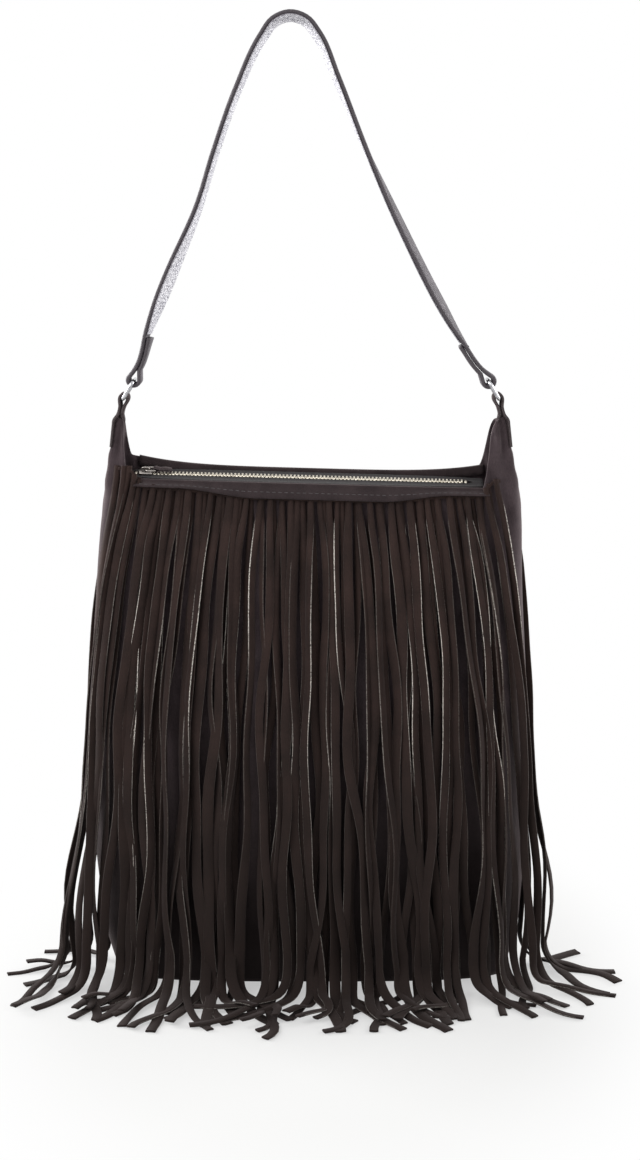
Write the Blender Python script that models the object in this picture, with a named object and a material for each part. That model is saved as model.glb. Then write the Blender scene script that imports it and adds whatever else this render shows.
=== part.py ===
"""A soft suede shoulder bag with long fringes, a metal zip and a ringed strap.

The bag stands on its base. +X is to the right, the front faces -Y, and the
origin is the middle of the base on the ground. All lengths are in metres.
"""

import math

import bpy
import numpy as np
from mathutils import Matrix, Vector

# Body of the bag
BASE_WIDTH = 0.300
BASE_DEPTH = 0.068
BELLY_WIDTH = 0.330
BELLY_DEPTH = 0.094
BELLY_HEIGHT = 0.150
MOUTH_WIDTH = 0.300
MOUTH_HEIGHT = 0.386
EAR_HEIGHT = 0.430
EAR_LEAN = 0.005
EAR_PINCH = 0.003
EAR_REACH = 0.020
EAR_SLOPE = 0.008
BASE_SQUARENESS = 3.2
BELLY_SQUARENESS = 2.7
MOUTH_SQUARENESS = 3.6
EAR_SQUARENESS = 5.0
SHOULDER = 0.014
SUEDE = 0.0020
BASE_THICKNESS = 0.0020
LINING = 0.0010
LINING_EASE = 0.0022
GAP = 0.0003
REAR_RIM_LIFT = 0.0045
REAR_RIM_RISE = 0.012

# Binding along both edges of the mouth
BINDING = 0.0012
BINDING_INNER_LEG = 0.006
BINDING_OUTER_LEG = 0.012
BINDING_END = MOUTH_WIDTH / 2 - 0.019

# Fringe
STRAND_WIDTH = 0.0062
STRAND_THICKNESS = 0.0012
LEVEL_GAP = 0.0008
STRAND_PITCH = 0.0073
HEADER_HEIGHT = 0.008
HEADER_SEAT = 0.0023
SEAM_REACH = 0.0058
SIDE_REACH = 0.0275
SEAM_EASE = 0.050
WALL_CLEARANCE = 0.0019
SIDE_CLEARANCE = 0.0013
HANG_LEVEL = 0.030
HEEL_RUN = 0.016
TOE_RUN = 0.060
FLARE_FRONT = 0.008
FLARE_SIDE = 0.030
SWAY = 0.0022
DRIFT = 0.012
DRIFT_WAVE = 0.42
FRINGE_SEED = 20

# Zip
ZIP_SLOPE = math.radians(1.6)
ZIP_TILT = math.radians(15.0)
TOOTH_PITCH = 0.0028
TOOTH_WIDTH = 0.0011
TOOTH_REACH = 0.0024
TOOTH_HEIGHT = 0.0026
TOOTH_BAR = 0.0016
CHAIN_START = 0.020 - MOUTH_WIDTH / 2
CHAIN_END = MOUTH_WIDTH / 2 - 0.032
TAPE_WIDTH = 0.0080
TAPE_THICKNESS = 0.0007
TAPE_OVERRUN = 0.003
STOP_LENGTH = 0.0022
SLIDER_LENGTH = 0.0105
SLIDER_WIDTH = 0.0094
SLIDER_NOSE = 0.0078
SLIDER_PLATE = 0.0009
SLIDER_CLEARANCE = 0.0004
BRIDGE_WIDTH = 0.0022
BRIDGE_BAR = 0.0010
BRIDGE_SPAN = 0.0064
LINK_LENGTH = 0.0088
LINK_WIDTH = 0.0086
LINK_CORNER = 0.0009
LINK_WIRE = 0.00065
PULL_TAB_LENGTH = 0.0120
PULL_TAB_WIDTH = 0.0050
PULL_TAB_THICKNESS = 0.0009

# Rings, tabs and strap
RING_WIRE = 0.0014
RING_PITCH = 0.0150
RING_WINDOW = 0.0228
RING_CORNER = 0.0024
RING_LEAN = math.radians(30.0)
RING_BAR_X = MOUTH_WIDTH / 2 - EAR_LEAN - 0.0055
RING_BAR_HEIGHT = EAR_HEIGHT + 0.0165
TAB_WIDTH = 0.0170
TAB_THICKNESS = 0.0016
TAB_OUTER_END = EAR_HEIGHT - 0.018
TAB_INNER_END = EAR_HEIGHT - 0.024
TAB_TAIL_WIDTH = 0.0080
TAB_TAIL_INSET = 0.0022
TAB_CLEARANCE = 0.0004
STRAP_WIDTH = 0.0200
STRAP_LEATHER = 0.0020
STRAP_LINING = 0.0011
STRAP_GLUE_LINE = 0.0006
STRAP_EYE = 0.0028
STRAP_EYE_SEAT = 0.0011
STRAP_TEARDROP = 0.012
STRAP_FOLD_BACK = 0.034
STRAP_TWIST_LEFT = math.radians(20.0)
STRAP_TWIST_TOP = math.radians(12.0)
STRAP_TWIST_RIGHT = math.radians(-18.0)

# The strap's middle line: shares of the rings' distance from the middle, and heights above them
STRAP_ROUTE = (
    (-0.8674, 0.0505),
    (-0.7384, 0.0945),
    (-0.6022, 0.1385),
    (-0.5018, 0.1815),
    (-0.3871, 0.2245),
    (-0.2437, 0.2635),
    (-0.1075, 0.2775),
    (0.0215, 0.2665),
    (0.1362, 0.2335),
    (0.2939, 0.1815),
    (0.4875, 0.1245),
    (0.6882, 0.0705),
    (0.8029, 0.0435),
)

# Colours: base colour, roughness, metallic
SUEDE_BROWN = ((0.020, 0.015, 0.014), 0.95, 0.0)
FRINGE_BROWN = ((0.024, 0.018, 0.017), 0.92, 0.0)
LINING_CLOTH = ((0.060, 0.052, 0.050), 0.85, 0.0)
TAPE_CLOTH = ((0.018, 0.016, 0.016), 0.90, 0.0)
STRAP_BROWN = ((0.045, 0.038, 0.040), 0.60, 0.0)
STRAP_PALE = ((0.420, 0.400, 0.460), 0.70, 0.0)
NICKEL = ((0.780, 0.740, 0.660), 0.28, 1.0)
STEEL = ((0.800, 0.800, 0.820), 0.16, 1.0)


# Mesh helpers


def make_material(name, finish):
    colour, roughness, metallic = finish
    material = bpy.data.materials.new(name)
    material.use_nodes = True
    shader = material.node_tree.nodes["Principled BSDF"]
    shader.inputs["Base Color"].default_value = (*colour, 1.0)
    shader.inputs["Roughness"].default_value = roughness
    shader.inputs["Metallic"].default_value = metallic
    material.diffuse_color = (*colour, 1.0)
    return material


def add_object(name, points, faces, finish, origin=(0.0, 0.0, 0.0), smooth_angle=None):
    """Adds a mesh given in world coordinates, with its object's origin at origin."""
    mesh = bpy.data.meshes.new(name)
    shifted = np.asarray(points, float) - np.asarray(origin, float)
    mesh.from_pydata(shifted.tolist(), [], [tuple(int(i) for i in face) for face in faces])
    mesh.materials.append(make_material(name + "_finish", finish))
    mesh.update()
    if smooth_angle is not None:
        mesh.shade_smooth()
        mesh.set_sharp_from_angle(angle=smooth_angle)
    item = bpy.data.objects.new(name, mesh)
    item.location = origin
    bpy.context.scene.collection.objects.link(item)
    return item


def loft_faces(count, sides, closed):
    """Quads between neighbouring rings of points, with end caps unless the path is closed."""
    faces = []
    spans = count if closed else count - 1
    for row in range(spans):
        here, there = row * sides, (row + 1) % count * sides
        for side in range(sides):
            after = (side + 1) % sides
            faces.append((here + side, here + after, there + after, there + side))
    if not closed:
        faces.append(tuple(range(sides))[::-1])
        faces.append(tuple(range((count - 1) * sides, count * sides)))
    return faces


def loft(name, rings, finish, closed=False, origin=(0.0, 0.0, 0.0), smooth_angle=None):
    """One closed body through rings of points, each an array of (sides, 3)."""
    rings = np.asarray(rings, float)
    count, sides = rings.shape[:2]
    faces = loft_faces(count, sides, closed)
    points = rings.reshape(-1, 3)
    return add_object(name, points, outward(points, faces), finish, origin, smooth_angle)


def signed_volume(points, faces):
    total = 0.0
    for face in faces:
        for second in range(1, len(face) - 1):
            corner = points[[face[0], face[second], face[second + 1]]]
            total += np.dot(corner[0], np.cross(corner[1], corner[2])) / 6.0
    return total


def outward(points, faces):
    """The same faces, turned round if they enclose the body from the wrong side.

    Each face keeps its first corner, so that its diagonal stays where it was.
    """
    if signed_volume(points, faces) < 0.0:
        return [(face[0],) + tuple(face[:0:-1]) for face in faces]
    return faces


def unit(vectors):
    vectors = np.asarray(vectors, float)
    return vectors / np.linalg.norm(vectors, axis=-1, keepdims=True)


def settled_slopes(at, values):
    """Slopes for a curve that never runs past the table's own values."""
    steep = np.diff(values) / np.diff(at)
    before, after = steep[:-1], steep[1:]
    same_way = before * after > 0.0
    total = np.where(same_way, before + after, 1.0)
    inner = np.where(same_way, 2 * before * after / total, 0.0)
    return np.concatenate((steep[:1], inner, steep[-1:]))


def smooth_table(where, at, values, settled=True):
    """A smooth curve through a short table, read at where."""
    at, values = np.asarray(at, float), np.asarray(values, float)
    slopes = settled_slopes(at, values) if settled else np.gradient(values, at)
    where = np.clip(np.asarray(where, float), at[0], at[-1])
    index = np.clip(np.searchsorted(at, where, side="right") - 1, 0, len(at) - 2)
    span = at[index + 1] - at[index]
    part = (where - at[index]) / span
    return (
        (2 * part**3 - 3 * part**2 + 1) * values[index]
        + (part**3 - 2 * part**2 + part) * span * slopes[index]
        + (-2 * part**3 + 3 * part**2) * values[index + 1]
        + (part**3 - part**2) * span * slopes[index + 1]
    )


# The bag's wall: horizontal sections are rounded rectangles that change with height


def mouth_half_depth():
    """The wall stands just outside the binding, which stands just outside the zip tape."""
    tape_edge = (TOOTH_REACH / 2 + TOOTH_BAR + GAP + TAPE_WIDTH) * math.cos(ZIP_TILT)
    return tape_edge + GAP + BINDING + GAP + SUEDE


def half_width(height):
    stations = (0.0, 0.3 * BELLY_HEIGHT, BELLY_HEIGHT, 0.8 * MOUTH_HEIGHT, MOUTH_HEIGHT, EAR_HEIGHT)
    low = BASE_WIDTH + 0.72 * (BELLY_WIDTH - BASE_WIDTH)
    high = MOUTH_WIDTH + 0.50 * (BELLY_WIDTH - MOUTH_WIDTH)
    widths = (BASE_WIDTH, low, BELLY_WIDTH, high, MOUTH_WIDTH, MOUTH_WIDTH - 2 * EAR_LEAN)
    return smooth_table(height, stations, np.array(widths) / 2)


def half_depth(height):
    mouth = 2 * mouth_half_depth()
    stations = (0.0, 0.3 * BELLY_HEIGHT, BELLY_HEIGHT, 0.75 * MOUTH_HEIGHT, MOUTH_HEIGHT, EAR_HEIGHT)
    low = BASE_DEPTH + 0.75 * (BELLY_DEPTH - BASE_DEPTH)
    high = mouth + 0.52 * (BELLY_DEPTH - mouth)
    depths = (BASE_DEPTH, low, BELLY_DEPTH, high, mouth, mouth - 2 * EAR_PINCH)
    return smooth_table(height, stations, np.array(depths) / 2)


def squareness(height):
    stations = (0.0, BELLY_HEIGHT, MOUTH_HEIGHT, EAR_HEIGHT)
    powers = (BASE_SQUARENESS, BELLY_SQUARENESS, MOUTH_SQUARENESS, EAR_SQUARENESS)
    return np.interp(height, stations, powers)


def wall_point(along, height, offset, front):
    """A point of the wall and the way it faces.

    along is the share of the half outline from the left seam to the right one,
    and offset is how far outside the wall's outer face the point lies.
    """
    wide, deep, power = half_width(height), half_depth(height), squareness(height)
    turn = np.linspace(0.0, math.pi, 241)
    side_x = -wide * np.sign(np.cos(turn)) * np.abs(np.cos(turn)) ** (2 / power)
    side_y = deep * np.abs(np.sin(turn)) ** (2 / power)
    run = np.concatenate(([0.0], np.cumsum(np.hypot(np.diff(side_x), np.diff(side_y)))))
    at = along * run[-1]
    x = np.interp(at, run, side_x)
    y = np.interp(at, run, side_y)
    facing = np.array(
        [
            np.sign(x) * (abs(x) / wide) ** (power - 1) / wide,
            (abs(y) / deep) ** (power - 1) / deep,
        ]
    )
    facing = facing / np.linalg.norm(facing)
    turned = -1.0 if front else 1.0
    place = np.array([x + facing[0] * offset, turned * (y + facing[1] * offset), height])
    return place, np.array([facing[0], turned * facing[1], 0.0])


def outline_length(height):
    """The length of half the outline at a height, from seam to seam."""
    wide, deep, power = half_width(height), half_depth(height), squareness(height)
    turn = np.linspace(0.0, math.pi, 241)
    side_x = wide * np.sign(np.cos(turn)) * np.abs(np.cos(turn)) ** (2 / power)
    side_y = deep * np.abs(np.sin(turn)) ** (2 / power)
    return float(np.sum(np.hypot(np.diff(side_x), np.diff(side_y))))


def seam_share(distance):
    """A distance from the side seam, as a share of the half outline at the mouth."""
    return distance / outline_length(MOUTH_HEIGHT)


def rim_height(x, front):
    """The top edge of a panel between the ears: level with the zip in front, lifted behind."""
    line = MOUTH_HEIGHT - math.tan(ZIP_SLOPE) * x
    drop = mouth_half_depth() * math.sin(ZIP_TILT)
    if front:
        return line - drop
    share = abs(x) / (MOUTH_WIDTH / 2)
    return line + REAR_RIM_LIFT + REAR_RIM_RISE * share**4


def wall_columns():
    """Shares along the half outline: close together round the ends, wider apart across the middle."""
    ear, slope = seam_share(EAR_REACH), seam_share(EAR_SLOPE)
    ends = [ear * step / 4 for step in range(5)] + [ear + slope]
    middle = np.linspace(ear + 2.5 * slope, 0.5, 6)
    left = ends + list(middle)
    return np.array(left + [1.0 - share for share in reversed(left[:-1])])


def top_height(along, front):
    """The height of a panel's top edge at a share of the outline."""
    reach = min(along, 1.0 - along)
    ear, slope = seam_share(EAR_REACH), seam_share(EAR_SLOPE)
    place, _ = wall_point(along, MOUTH_HEIGHT, 0.0, front)
    rim = rim_height(float(place[0]), front)
    lift = np.clip((ear + slope - reach) / slope, 0.0, 1.0)
    return rim + (EAR_HEIGHT - rim) * lift


WALL_LEVELS = (0.0, 0.045, 0.170, 0.350, 0.540, 0.720, 0.870, 1.0)


def wall_grid(columns, offset, front, bottom):
    """Rows of points up the wall: spread as far as the shoulder, and then the top edge."""
    tops = [top_height(along, front) for along in columns]
    rows = []
    for level in WALL_LEVELS:
        heights = [bottom + level * (top - SHOULDER - bottom) for top in tops]
        rows.append([wall_point(along, height, offset, front)[0] for along, height in zip(columns, heights)])
    rows.append([wall_point(along, top, offset, front)[0] for along, top in zip(columns, tops)])
    return np.array(rows)


def shell_faces(rows, columns):
    """Faces of a closed sheet: an outer grid, an inner one after it, and the rim between them."""
    half = rows * columns
    faces = []
    for row in range(rows - 1):
        for column in range(columns - 1):
            corner = row * columns + column
            quad = (corner, corner + 1, corner + columns + 1, corner + columns)
            faces.append(quad)
            faces.append(tuple(half + index for index in reversed(quad)))
    border = [column for column in range(columns)]
    border += [row * columns + columns - 1 for row in range(1, rows)]
    border += [(rows - 1) * columns + column for column in range(columns - 2, -1, -1)]
    border += [row * columns for row in range(rows - 2, 0, -1)]
    for place, index in enumerate(border):
        after = border[(place + 1) % len(border)]
        faces.append((index, half + index, half + after, after))
    return faces


def make_panel(name, front):
    """The front or back of the bag, from side seam to side seam, with the ear's half at each end."""
    columns = wall_columns()
    outer = wall_grid(columns, 0.0, front, BASE_THICKNESS + GAP)
    inner = wall_grid(columns, -SUEDE, front, BASE_THICKNESS + GAP)
    turned = -1.0 if front else 1.0
    for grid in (outer, inner):
        grid[:, 0, 1] = turned * GAP / 2
        grid[:, -1, 1] = turned * GAP / 2
    points = np.concatenate((outer.reshape(-1, 3), inner.reshape(-1, 3)))
    faces = outward(points, shell_faces(*outer.shape[:2]))
    return add_object(name, points, faces, SUEDE_BROWN, smooth_angle=math.radians(35))


def make_base():
    """The flat base that the panels are seamed to."""
    columns = wall_columns()
    loop = [wall_point(along, 0.0, 0.0, True)[0] for along in columns]
    loop += [wall_point(along, 0.0, 0.0, False)[0] for along in columns[-2:0:-1]]
    low = np.array(loop)
    high = low + np.array([0.0, 0.0, BASE_THICKNESS])
    return loft("base_panel", [low, high], SUEDE_BROWN)


def make_lining():
    """The cloth bag inside, open at the top, one thin sheet with a bottom."""
    start = seam_share(EAR_REACH) * 0.25
    columns = np.linspace(start, 1.0 - start, 13)
    outside = SUEDE + LINING_EASE
    floor = BASE_THICKNESS + 2 * GAP
    mouth = MOUTH_HEIGHT - mouth_half_depth() * math.sin(ZIP_TILT) - BINDING_INNER_LEG - 0.006
    heights = [floor + share * (mouth - floor) for share in (0.0, 0.08, 0.25, 0.45, 0.65, 0.83, 1.0)]

    def ring(height, inset):
        loop = [wall_point(along, height, -inset, True)[0] for along in columns]
        loop += [wall_point(along, height, -inset, False)[0] for along in columns[::-1]]
        return np.array(loop)

    outer = [ring(height, outside) for height in heights]
    inner_heights = [heights[0] + LINING] + heights[1:]
    inner = [ring(height, outside + LINING) for height in reversed(inner_heights)]
    return loft("lining", outer + inner, LINING_CLOTH, smooth_angle=math.radians(35))


def make_binding(name, front):
    """The strip folded over a panel's top edge: its outer leg covers the fringe's sewn headers."""
    columns = wall_columns()
    places = [wall_point(along, MOUTH_HEIGHT, 0.0, front)[0][0] for along in columns]
    inside = [along for along, x in zip(columns, places) if abs(x) < BINDING_END]
    if front:
        under = fringe_offset(4) + GAP
        leg = (
            (GAP, -GAP),
            (under, -BINDING_OUTER_LEG),
            (under + BINDING, -BINDING_OUTER_LEG + BINDING / 2),
            (GAP + BINDING, GAP + BINDING / 2),
        )
    else:
        leg = (
            (GAP, 0.0),
            (GAP, -BINDING_OUTER_LEG),
            (GAP + BINDING, -BINDING_OUTER_LEG),
            (GAP + BINDING, GAP + BINDING / 2),
        )
    inner = -SUEDE - GAP
    profile = (
        (inner, -BINDING_INNER_LEG),
        (inner, GAP),
        (GAP, GAP),
        *leg,
        (GAP, GAP + BINDING),
        (inner - BINDING, GAP + BINDING),
        (inner - BINDING, -BINDING_INNER_LEG),
    )
    rings = []
    for along in inside:
        place, _ = wall_point(along, MOUTH_HEIGHT, 0.0, front)
        rim = rim_height(float(place[0]), front)
        rings.append([wall_point(along, rim + up, out, front)[0] for out, up in profile])
    return loft(name, rings, SUEDE_BROWN, smooth_angle=math.radians(40))


# Fringe: flat strands hang from sewn headers, in levels that never touch


def fringe_offset(level, clearance=WALL_CLEARANCE):
    """How far a level's back face lies outside the wall."""
    return clearance + level * (STRAND_THICKNESS + LEVEL_GAP)


def flare(along):
    """How far the strands stand away from the wall near the ground: more at the sides."""
    sideways = abs(2 * along - 1.0)
    return FLARE_FRONT + (FLARE_SIDE - FLARE_FRONT) * sideways**6


# Extra rows, as shares of the mouth's height, for strands that turn with the bag's corners
CORNER_ROWS = (0.91, 0.86)


def strand_route(toe):
    """Where a strand's middle line passes: height, share of the flare, and run along the ground.

    Above the belly the strand lies on the wall, and below it hangs free of it.
    """
    floor = -WALL_CLEARANCE
    return (
        (0.78 * MOUTH_HEIGHT, 0.0, 0.0),
        (0.60 * MOUTH_HEIGHT, 0.0, 0.0),
        (BELLY_HEIGHT, 0.0, 0.0),
        (0.5 * (BELLY_HEIGHT + HANG_LEVEL), 0.35, 0.0),
        (HANG_LEVEL, 1.0, 0.0),
        (floor, 1.0, HEEL_RUN),
        (floor, 1.0, HEEL_RUN + toe),
    )


class Comb:
    """One row of strands cut from a strip: a header with strands on two levels in turn."""

    def __init__(self, name, first_level, starts, front, seed, clearance=WALL_CLEARANCE):
        self.name = name
        self.first_level = first_level
        self.starts = starts
        self.front = front
        self.clearance = clearance
        self.total = outline_length(MOUTH_HEIGHT)
        self.random = np.random.default_rng(seed)
        self.phase = self.random.uniform(0.0, 2 * math.pi, 3)

    def level(self, index):
        return self.first_level + index % 2

    def ease(self, distance):
        """How freely a strand may wander: not at all at the side seams, fully away from them."""
        return min(1.0, distance / SEAM_EASE, (self.total - distance) / SEAM_EASE)

    def drift(self, distance, drop, level):
        """Smooth sideways wandering shared by neighbours of one level."""
        wave = 2 * math.pi * distance / (DRIFT_WAVE * BELLY_WIDTH) + self.phase[level % 2]
        common = math.sin(self.phase[2] + level) * drop**2
        return DRIFT * (0.3 * math.sin(wave) * drop + common)

    def strand_centres(self, index, toe):
        """The middle line, across directions and out directions of one strand, header edge first."""
        level = self.level(index)
        start = self.starts[index]
        sway = 0.0
        centres, across, route_out = [], [], []
        top = self.header_bottom(start)
        route = [(top, 0.0, 0.0)] + list(strand_route(toe))
        if self.ease(start) < 0.8:
            route[1:1] = [(share * MOUTH_HEIGHT, 0.0, 0.0) for share in CORNER_ROWS]
        for row, (height, flared, run) in enumerate(route):
            drop = row / (len(route) - 1)
            if row:
                sway = np.clip(sway + self.random.uniform(-SWAY, SWAY), -SWAY, SWAY)
            shift = sway + self.drift(start, drop, level) if row else 0.0
            along = (start + self.ease(start) * shift) / self.total
            held = max(height, BELLY_HEIGHT)
            place, facing = wall_point(along, held, flared * flare(along) + run, self.front)
            side = np.array([-facing[1], facing[0], 0.0]) * (1.0 if self.front else -1.0)
            place[2] = height
            centres.append(place)
            across.append(side)
            route_out.append(facing)
        return np.array(centres), np.array(across), np.array(route_out), level

    def header_bottom(self, start):
        place, _ = wall_point(start / self.total, MOUTH_HEIGHT, 0.0, self.front)
        x = float(np.clip(place[0], -BINDING_END, BINDING_END))
        return rim_height(x, True) - BINDING_OUTER_LEG - 2 * GAP - HEADER_HEIGHT

    def strand_rings(self, index):
        """Four corners at each point of one strand: back left, back right, front right, front left."""
        toe = TOE_RUN * self.random.uniform(0.75, 1.25)
        centres, across, out, level = self.strand_centres(index, toe)
        steps = unit(np.diff(centres, axis=0))
        along = unit(np.vstack((steps[:1], steps[:-1] + steps[1:], steps[-1:])))
        lift = np.cross(across, along)
        lift *= np.sign(np.sum(lift * (out + np.array([0.0, 0.0, 0.2])), axis=1))[:, None]
        stretch = 1.0 / np.sum(along[1:] * steps, axis=1)
        lift = unit(lift) * np.concatenate(([1.0], stretch))[:, None]
        back = fringe_offset(level, self.clearance)
        near, far = back, back + STRAND_THICKNESS
        half = across * STRAND_WIDTH / 2
        return np.stack(
            (
                centres - half + lift * near,
                centres + half + lift * near,
                centres + half + lift * far,
                centres - half + lift * far,
            ),
            axis=1,
        )

    def build(self):
        points, faces = [], []
        strands = [self.strand_rings(index) for index in range(len(self.starts))]
        seat = HEADER_SEAT + 0.75 * self.first_level * (STRAND_THICKNESS + LEVEL_GAP)
        tops = []
        for index, rings in enumerate(strands):
            base = len(points)
            points.extend(rings.reshape(-1, 3))
            count = len(rings)
            for row in range(count - 1):
                here, there = base + row * 4, base + (row + 1) * 4
                for side in range(4):
                    after = (side + 1) % 4
                    faces.append((here + side, here + after, there + after, there + side))
            last = base + (count - 1) * 4
            faces.append((last, last + 1, last + 2, last + 3))
            tops.append(base)
        crown = []
        for start in self.starts:
            base = len(points)
            height = self.header_bottom(start) + HEADER_HEIGHT
            for edge, level_out in ((-1, 0.0), (1, 0.0), (1, STRAND_THICKNESS), (-1, STRAND_THICKNESS)):
                place, facing = wall_point(start / self.total, height, 0.0, self.front)
                side = np.array([-facing[1], facing[0], 0.0]) * (1.0 if self.front else -1.0)
                points.append(place + side * edge * STRAND_WIDTH / 2 + facing * (seat + level_out))
            crown.append(base)
        for index, (top, low) in enumerate(zip(crown, tops)):
            faces.append((top, top + 1, low + 1, low))
            faces.append((top + 2, top + 3, low + 3, low + 2))
            faces.append((top + 3, top + 2, top + 1, top))
            if index + 1 < len(crown):
                next_top, next_low = crown[index + 1], tops[index + 1]
                faces.append((top + 1, next_top, next_low, low + 1))
                faces.append((next_top + 3, top + 2, low + 2, next_low + 3))
                faces.append((top + 2, next_top + 3, next_top, top + 1))
                faces.append((low + 1, next_low, next_low + 3, low + 2))
        faces.append((crown[0], tops[0], tops[0] + 3, crown[0] + 3))
        end_top, end_low = crown[-1], tops[-1]
        faces.append((end_top + 1, end_top + 2, end_low + 2, end_low + 1))
        points = np.array(points)
        return add_object(self.name, points, outward(points, faces), FRINGE_BROWN)


def comb_starts(first, last, phase):
    """Distances along the mouth's half outline where strands are centred, between two limits."""
    count = int((last - first) / STRAND_PITCH)
    spare = (last - first) - (count - 1) * STRAND_PITCH
    return [first + spare * phase + index * STRAND_PITCH for index in range(count)]


def make_fringe():
    total = outline_length(MOUTH_HEIGHT)
    front = (SEAM_REACH, total - SEAM_REACH)
    left = (SEAM_REACH, SIDE_REACH)
    right = (total - SIDE_REACH, total - SEAM_REACH)
    Comb("fringe_front_inner", 0, comb_starts(*front, 0.25), True, FRINGE_SEED).build()
    Comb("fringe_front_outer", 2, comb_starts(*front, 0.75), True, FRINGE_SEED + 1).build()
    Comb("fringe_side_left", 0, comb_starts(*left, 0.5), False, FRINGE_SEED + 2, SIDE_CLEARANCE).build()
    Comb("fringe_side_right", 0, comb_starts(*right, 0.5), False, FRINGE_SEED + 3, SIDE_CLEARANCE).build()


# Zip: its parts are laid out along the teeth, across them, and up from them


def zip_matrix():
    """The frame of the closed zip: along it, across it towards the back, and up."""
    turn = Matrix.Rotation(ZIP_SLOPE, 4, "Y") @ Matrix.Rotation(ZIP_TILT, 4, "X")
    return Matrix.Translation((0.0, 0.0, MOUTH_HEIGHT)) @ turn


def zip_points(points):
    turn = np.array(zip_matrix())
    return np.asarray(points, float) @ turn[:3, :3].T + turn[:3, 3]


def chain_half_width():
    return TOOTH_REACH / 2 + TOOTH_BAR


def tooth_count():
    return int((CHAIN_END - CHAIN_START) / TOOTH_PITCH) - 1


def make_teeth(name, side):
    """One row of teeth on its bar, side -1 in front and 1 behind, half a pitch apart."""
    root, tip = TOOTH_REACH / 2, GAP - TOOTH_REACH / 2
    back = chain_half_width()
    first = CHAIN_START + TOOTH_PITCH * (0.5 if side < 0 else 1.0)
    outline, runs = [], []
    for index in range(tooth_count()):
        middle = first + index * TOOTH_PITCH
        start = len(outline)
        for along, across in ((-0.5, root), (-0.38, tip), (0.38, tip), (0.5, root)):
            outline.append((middle + along * TOOTH_WIDTH, side * across))
        runs.append(start)
    teeth = len(outline)
    group = 8
    backs = []
    for index in list(range(0, tooth_count(), group)) + [tooth_count() - 1]:
        corner = runs[index] if index + 1 < tooth_count() else runs[index] + 3
        backs.append((len(outline), corner))
        outline.append((outline[corner][0], side * back))
    count = len(outline)
    flat = [(along, across, -TOOTH_HEIGHT / 2) for along, across in outline]
    flat += [(along, across, TOOTH_HEIGHT / 2) for along, across in outline]
    faces = []
    for (low, from_corner), (high, to_corner) in zip(backs, backs[1:]):
        run = [low] + list(range(from_corner, to_corner + 1)) + [high]
        faces.append(tuple(run[::-1]))
        faces.append(tuple(count + index for index in run))
        faces.append((high, low, count + low, count + high))
    for index in range(teeth - 1):
        faces.append((index, index + 1, count + index + 1, count + index))
    first_back, last_back = backs[0][0], backs[-1][0]
    faces.append((first_back, 0, count, count + first_back))
    faces.append((teeth - 1, last_back, count + last_back, count + teeth - 1))
    points = zip_points(flat)
    return add_object(name, points, outward(points, faces), NICKEL)


def box_points(low, high):
    """The corners of a box, for loft: two rings of four across its first direction."""
    section = ((low[1], low[2]), (high[1], low[2]), (high[1], high[2]), (low[1], high[2]))
    return np.array([[(along, *corner) for corner in section] for along in (low[0], high[0])])


def binding_face(x, side):
    """How far from the middle a tape may reach before it meets the binding's inner leg."""
    height = MOUTH_HEIGHT + side * mouth_half_depth() * math.sin(ZIP_TILT) + BINDING
    wide, deep, power = half_width(height), half_depth(height), squareness(height)
    outline = deep * (1.0 - (abs(x) / wide) ** power) ** (1.0 / power)
    return outline - SUEDE - 3 * GAP - BINDING


def make_tape(name, side):
    """The woven tape that carries one row of teeth and is sewn into the binding."""
    near = chain_half_width() + GAP
    start, end = CHAIN_START - TAPE_OVERRUN, CHAIN_END + TAPE_OVERRUN
    rings = []
    for along in np.linspace(start, end, 11):
        far = min(near + TAPE_WIDTH, binding_face(along, side) / math.cos(ZIP_TILT))
        section = ((near, -1), (far, -1), (far, 1), (near, 1))
        rings.append([(along, side * across, up * TAPE_THICKNESS / 2) for across, up in section])
    rings = np.array([zip_points(ring) for ring in rings])
    return loft(name, rings, TAPE_CLOTH)


def make_stop(name, middle):
    """A clamped metal stop across the end of the chain."""
    half = chain_half_width() - GAP
    low = (middle - STOP_LENGTH / 2, -half, -TOOTH_HEIGHT / 2)
    high = (middle + STOP_LENGTH / 2, half, TOOTH_HEIGHT / 2)
    rings = np.array([zip_points(ring) for ring in box_points(low, high)])
    return loft(name, rings, NICKEL)


def stop_places():
    """The middles of the two stops, just past the last tooth at each end."""
    left = CHAIN_START - GAP - STOP_LENGTH / 2
    right = CHAIN_START + (tooth_count() + 0.5) * TOOTH_PITCH + GAP + STOP_LENGTH / 2
    return left, right


def slider_rest():
    """The slider's middle when the zip is closed, against the left stop."""
    return CHAIN_START + GAP + SLIDER_LENGTH / 2


def slider_section(width, upper):
    """Half of a slider's section: a plate over the teeth with a flange down each side."""
    room = TOOTH_HEIGHT / 2 + SLIDER_CLEARANCE
    inside = chain_half_width() + SLIDER_CLEARANCE
    lip = TAPE_THICKNESS / 2 + SLIDER_CLEARANCE
    outer = width / 2
    top = room + SLIDER_PLATE
    section = (
        (-outer, lip),
        (-inside, lip),
        (-inside, room),
        (inside, room),
        (inside, lip),
        (outer, lip),
        (outer - SLIDER_PLATE / 2, top),
        (-outer + SLIDER_PLATE / 2, top),
    )
    turned = 1.0 if upper else -1.0
    return [(across, turned * up) for across, up in section]


def slider_shell(upper):
    """Rings of half the slider's body, rounded narrower at both ends."""
    rest = slider_rest()
    rings = []
    for share, width in ((-0.5, SLIDER_NOSE), (-0.36, SLIDER_WIDTH), (0.36, SLIDER_WIDTH), (0.5, SLIDER_NOSE)):
        section = slider_section(width, upper)
        ring = [(rest + share * SLIDER_LENGTH, across, up) for across, up in section]
        rings.append(zip_points(ring))
    return np.array(rings)


def slider_top():
    return TOOTH_HEIGHT / 2 + SLIDER_CLEARANCE + SLIDER_PLATE


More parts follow.
